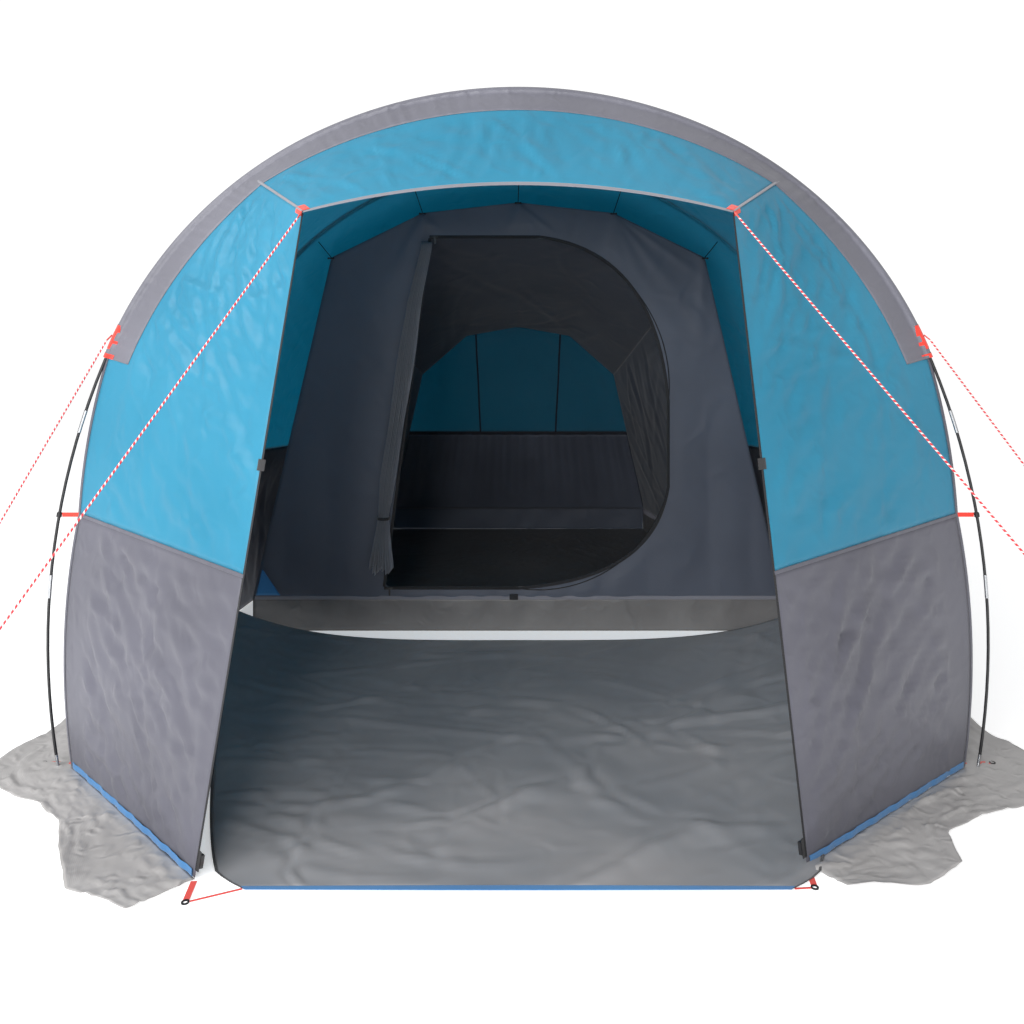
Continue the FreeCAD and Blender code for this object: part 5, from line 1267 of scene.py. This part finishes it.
item = piece("inner_door_gathered", points, DOOR, ["inner_door_roll"],
             thick=0.0004, faces_out=True)
cut(item)
t = np.linspace(0, 2 * np.pi, 50)
TIE_MIDDLE, TIE_RADIUS = np.array([-0.630, INNER_Y - 0.0275, 0.538]), 0.0285
tie = TIE_MIDDLE + TIE_RADIUS * np.column_stack([np.cos(t), np.sin(t), 0 * t])
out = tie - TIE_MIDDLE
out /= np.linalg.norm(out, axis=1, keepdims=True)
ribbon("inner_door_tie", tie, out, np.tile([0, 0, 1.0], (50, 1)), 0.014, BINDING_BLACK)

# %% [markdown]
# ## Webbing wraps and toggles
# Where a sleeve ends and at each peak, a piece of red webbing is sewn round the seam, and the guy
# starts there. Black tabs on the zips hold the doors back, and a blue patch strengthens the inner
# wall's corner. The inner tent is hung by small black toggles, turned like beads.

# %% Red wraps
for name, side in (("left", -1), ("right", 1)):
    for label, low_k, high_k, reach in (("upper", 8.25, 8.8, 0.024), ("lower", 8.9, 9.0, 0.03)):
        k_line = np.linspace(low_k, high_k, 12)[:, None]
        offset = np.linspace(-1, 1, 28)[None, :]
        taper = 1.0 + 0 * k_line
        if label == "upper":
            taper = (k_line - low_k) / (high_k - low_k) * 0.6 + 0.4
        off = offset * reach * taper
        points = round_front(side * (k_line + 0 * off), off)
        bell = 0.0032 + over_the_pole(off)
        points = points + grid_normals(points) * bell[..., None]
        piece("sleeve_wrap_%s_%s" % (label, name), points, RED, [], thick=0.0008)
    top = peak(side)
    k_line, share = np.meshgrid(np.linspace(3.86, 4.14, 12), np.linspace(0.90, 0.995, 10))
    points = porch(side * k_line, share)
    piece("peak_patch_" + name, points + grid_normals(points) * 0.003, RED, [],
          thick=0.0008)

# %% Tabs and patch
for name, side, k in (("left", -1, 9.67), ("right", 1, 9.67)):
    row = np.linspace(k - 0.07, k + 0.07, 8) * side
    seam_on("zip_tab_" + name, front_edge(row), porch(row, np.full(8, 0.98)), 0.030,
            BINDING_BLACK, proud=0.002)
fine = np.linspace(0, 1, 10)
u, v = np.meshgrid(fine, fine * 0.96)
corner = np.stack([-1.232 + 0.115 * u * (1 - v) + 0.030 * v, 0 * u + INNER_Y - 0.013,
                   0.172 + 0.125 * v], axis=-1)
piece("inner_corner_patch", corner, BINDING_BLUE, [], thick=0.0008)
u, v = np.meshgrid(np.linspace(-0.02, 0.02, 8), np.linspace(0.148, 0.176, 6))
piece("inner_sill_tag", np.stack([u - 0.02, 0 * u + INNER_Y - 0.0055, v], axis=-1), BINDING_BLACK,
      [], thick=0.0012)

# %% Toggles
turned = np.array([(0.0, -0.016), (0.004, -0.0155), (0.0052, -0.012), (0.004, -0.008),
                   (0.0036, 0.0), (0.004, 0.008), (0.0052, 0.012), (0.004, 0.0155),
                   (0.0, 0.016)])
for number, (x, z_at) in enumerate(HANGING):
    fine = np.linspace(0, 8, 40)
    r, h = np.interp(fine, np.arange(9), turned[:, 0]), np.interp(fine, np.arange(9), turned[:, 1])
    t = np.linspace(0, 2 * np.pi, 20, endpoint=False)[None, :]
    points = np.stack([x + h[:, None] + 0 * t, INNER_Y - 0.008 + r[:, None] * np.cos(t),
                       z_at - 0.004 + r[:, None] * np.sin(t)], axis=-1)
    piece("toggle_%d" % (number + 1), points, NYLON, [], thick=0, closed=True)

# %% [markdown]
# ## Fittings from the CAD model
# Poles, ferrules, clips, sliders, rings and pegs keep their CAD shapes and get their finish here.

# %% Finishes for the CAD pieces
FINISHES = {
    POLE: ["front_hoop_sections", "middle_hoop_sections", "rear_hoop_sections"],
    STEEL: ["pole_ferrules", "pole_tips", "guy_pegs"],
    ELASTIC: ["shock_cords", "inner_hangers"],
    NYLON: ["pole_clips"] + ["runner_" + name for name in GUYS],
    ZINC: ["front_slider_left", "front_slider_right", "inner_slider_low", "inner_slider_high"],
    COIL: ["inner_zip"],
    DARK_STEEL: ["peg_eyelets"],
    RED: ["webbing"],
}
for material, names in FINISHES.items():
    for name in names:
        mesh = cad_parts[name].data
        mesh.materials.clear()
        mesh.materials.append(material)
left_over = [name for name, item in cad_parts.items()
             if not item.hide_render and not any(name in names for names in FINISHES.values())]
print("CAD nodes without a finish:", left_over)

# %% [markdown]
# ## Floor and light
# A pale floor that glows a little, so that it stays white right up to the tent, an even surround,
# and three large soft lamps: the key high on the left in front, a lower fill beside it, and one
# that reaches through the doorway.

# %% Floor, surround and lamp
floor_mesh = bpy.data.meshes.new("floor")
half = 40.0
floor_mesh.from_pydata([(-half, -half, 0), (half, -half, 0), (half, half, 0), (-half, half, 0)], [],
                       [(0, 1, 2, 3)])
floor = bpy.data.objects.new("floor", floor_mesh)
bpy.context.scene.collection.objects.link(floor)
floor.location.z = -0.0005
floor_material, tree = new_material("pale_floor")
floor_shader = add(tree, "BsdfPrincipled", Base_Color=colour("#F4F4F4"), Roughness=0.9,
                   Emission_Color=colour("#FFFFFF"), Emission_Strength=0.42)
add(tree, "OutputMaterial", Surface=floor_shader.outputs["BSDF"])
floor_mesh.materials.append(floor_material)

world = bpy.data.worlds.new("surround")
bpy.context.scene.world = world
world.use_nodes = True
# the surround lights the tent at 0.66, and looks plain white behind it
tree = world.node_tree
seen = add(tree, "LightPath").outputs["Is Camera Ray"]
strength = add(tree, "MapRange", Value=seen, To_Min=0.66, To_Max=1.1)
backdrop = tree.nodes["Background"]
backdrop.inputs["Color"].default_value = colour("#FFFFFF")
tree.links.new(strength.outputs["Result"], backdrop.inputs["Strength"])


def lamp(name, place, target, size, power, tint="#FFFFFF"):
    data = bpy.data.lights.new(name, "AREA")
    data.size, data.energy, data.color = size, power, colour(tint)[:3]
    item = bpy.data.objects.new(name, data)
    bpy.context.scene.collection.objects.link(item)
    way = np.array(target) - np.array(place)
    item.location = place
    item.rotation_euler = (math.acos(-way[2] / np.linalg.norm(way)), 0,
                           math.atan2(way[1], way[0]) - math.pi / 2)
    return item


lamp("key", (-5.5, -5.0, 5.5), (0, -0.8, 1.0), 3.5, 300)
lamp("fill", (-3.2, -6.0, 2.4), (0, 1.2, 0.8), 2.4, 110)
lamp("doorway_fill", (-1.1, -6.6, 2.1), (0.1, 1.6, 0.7), 1.6, 150)
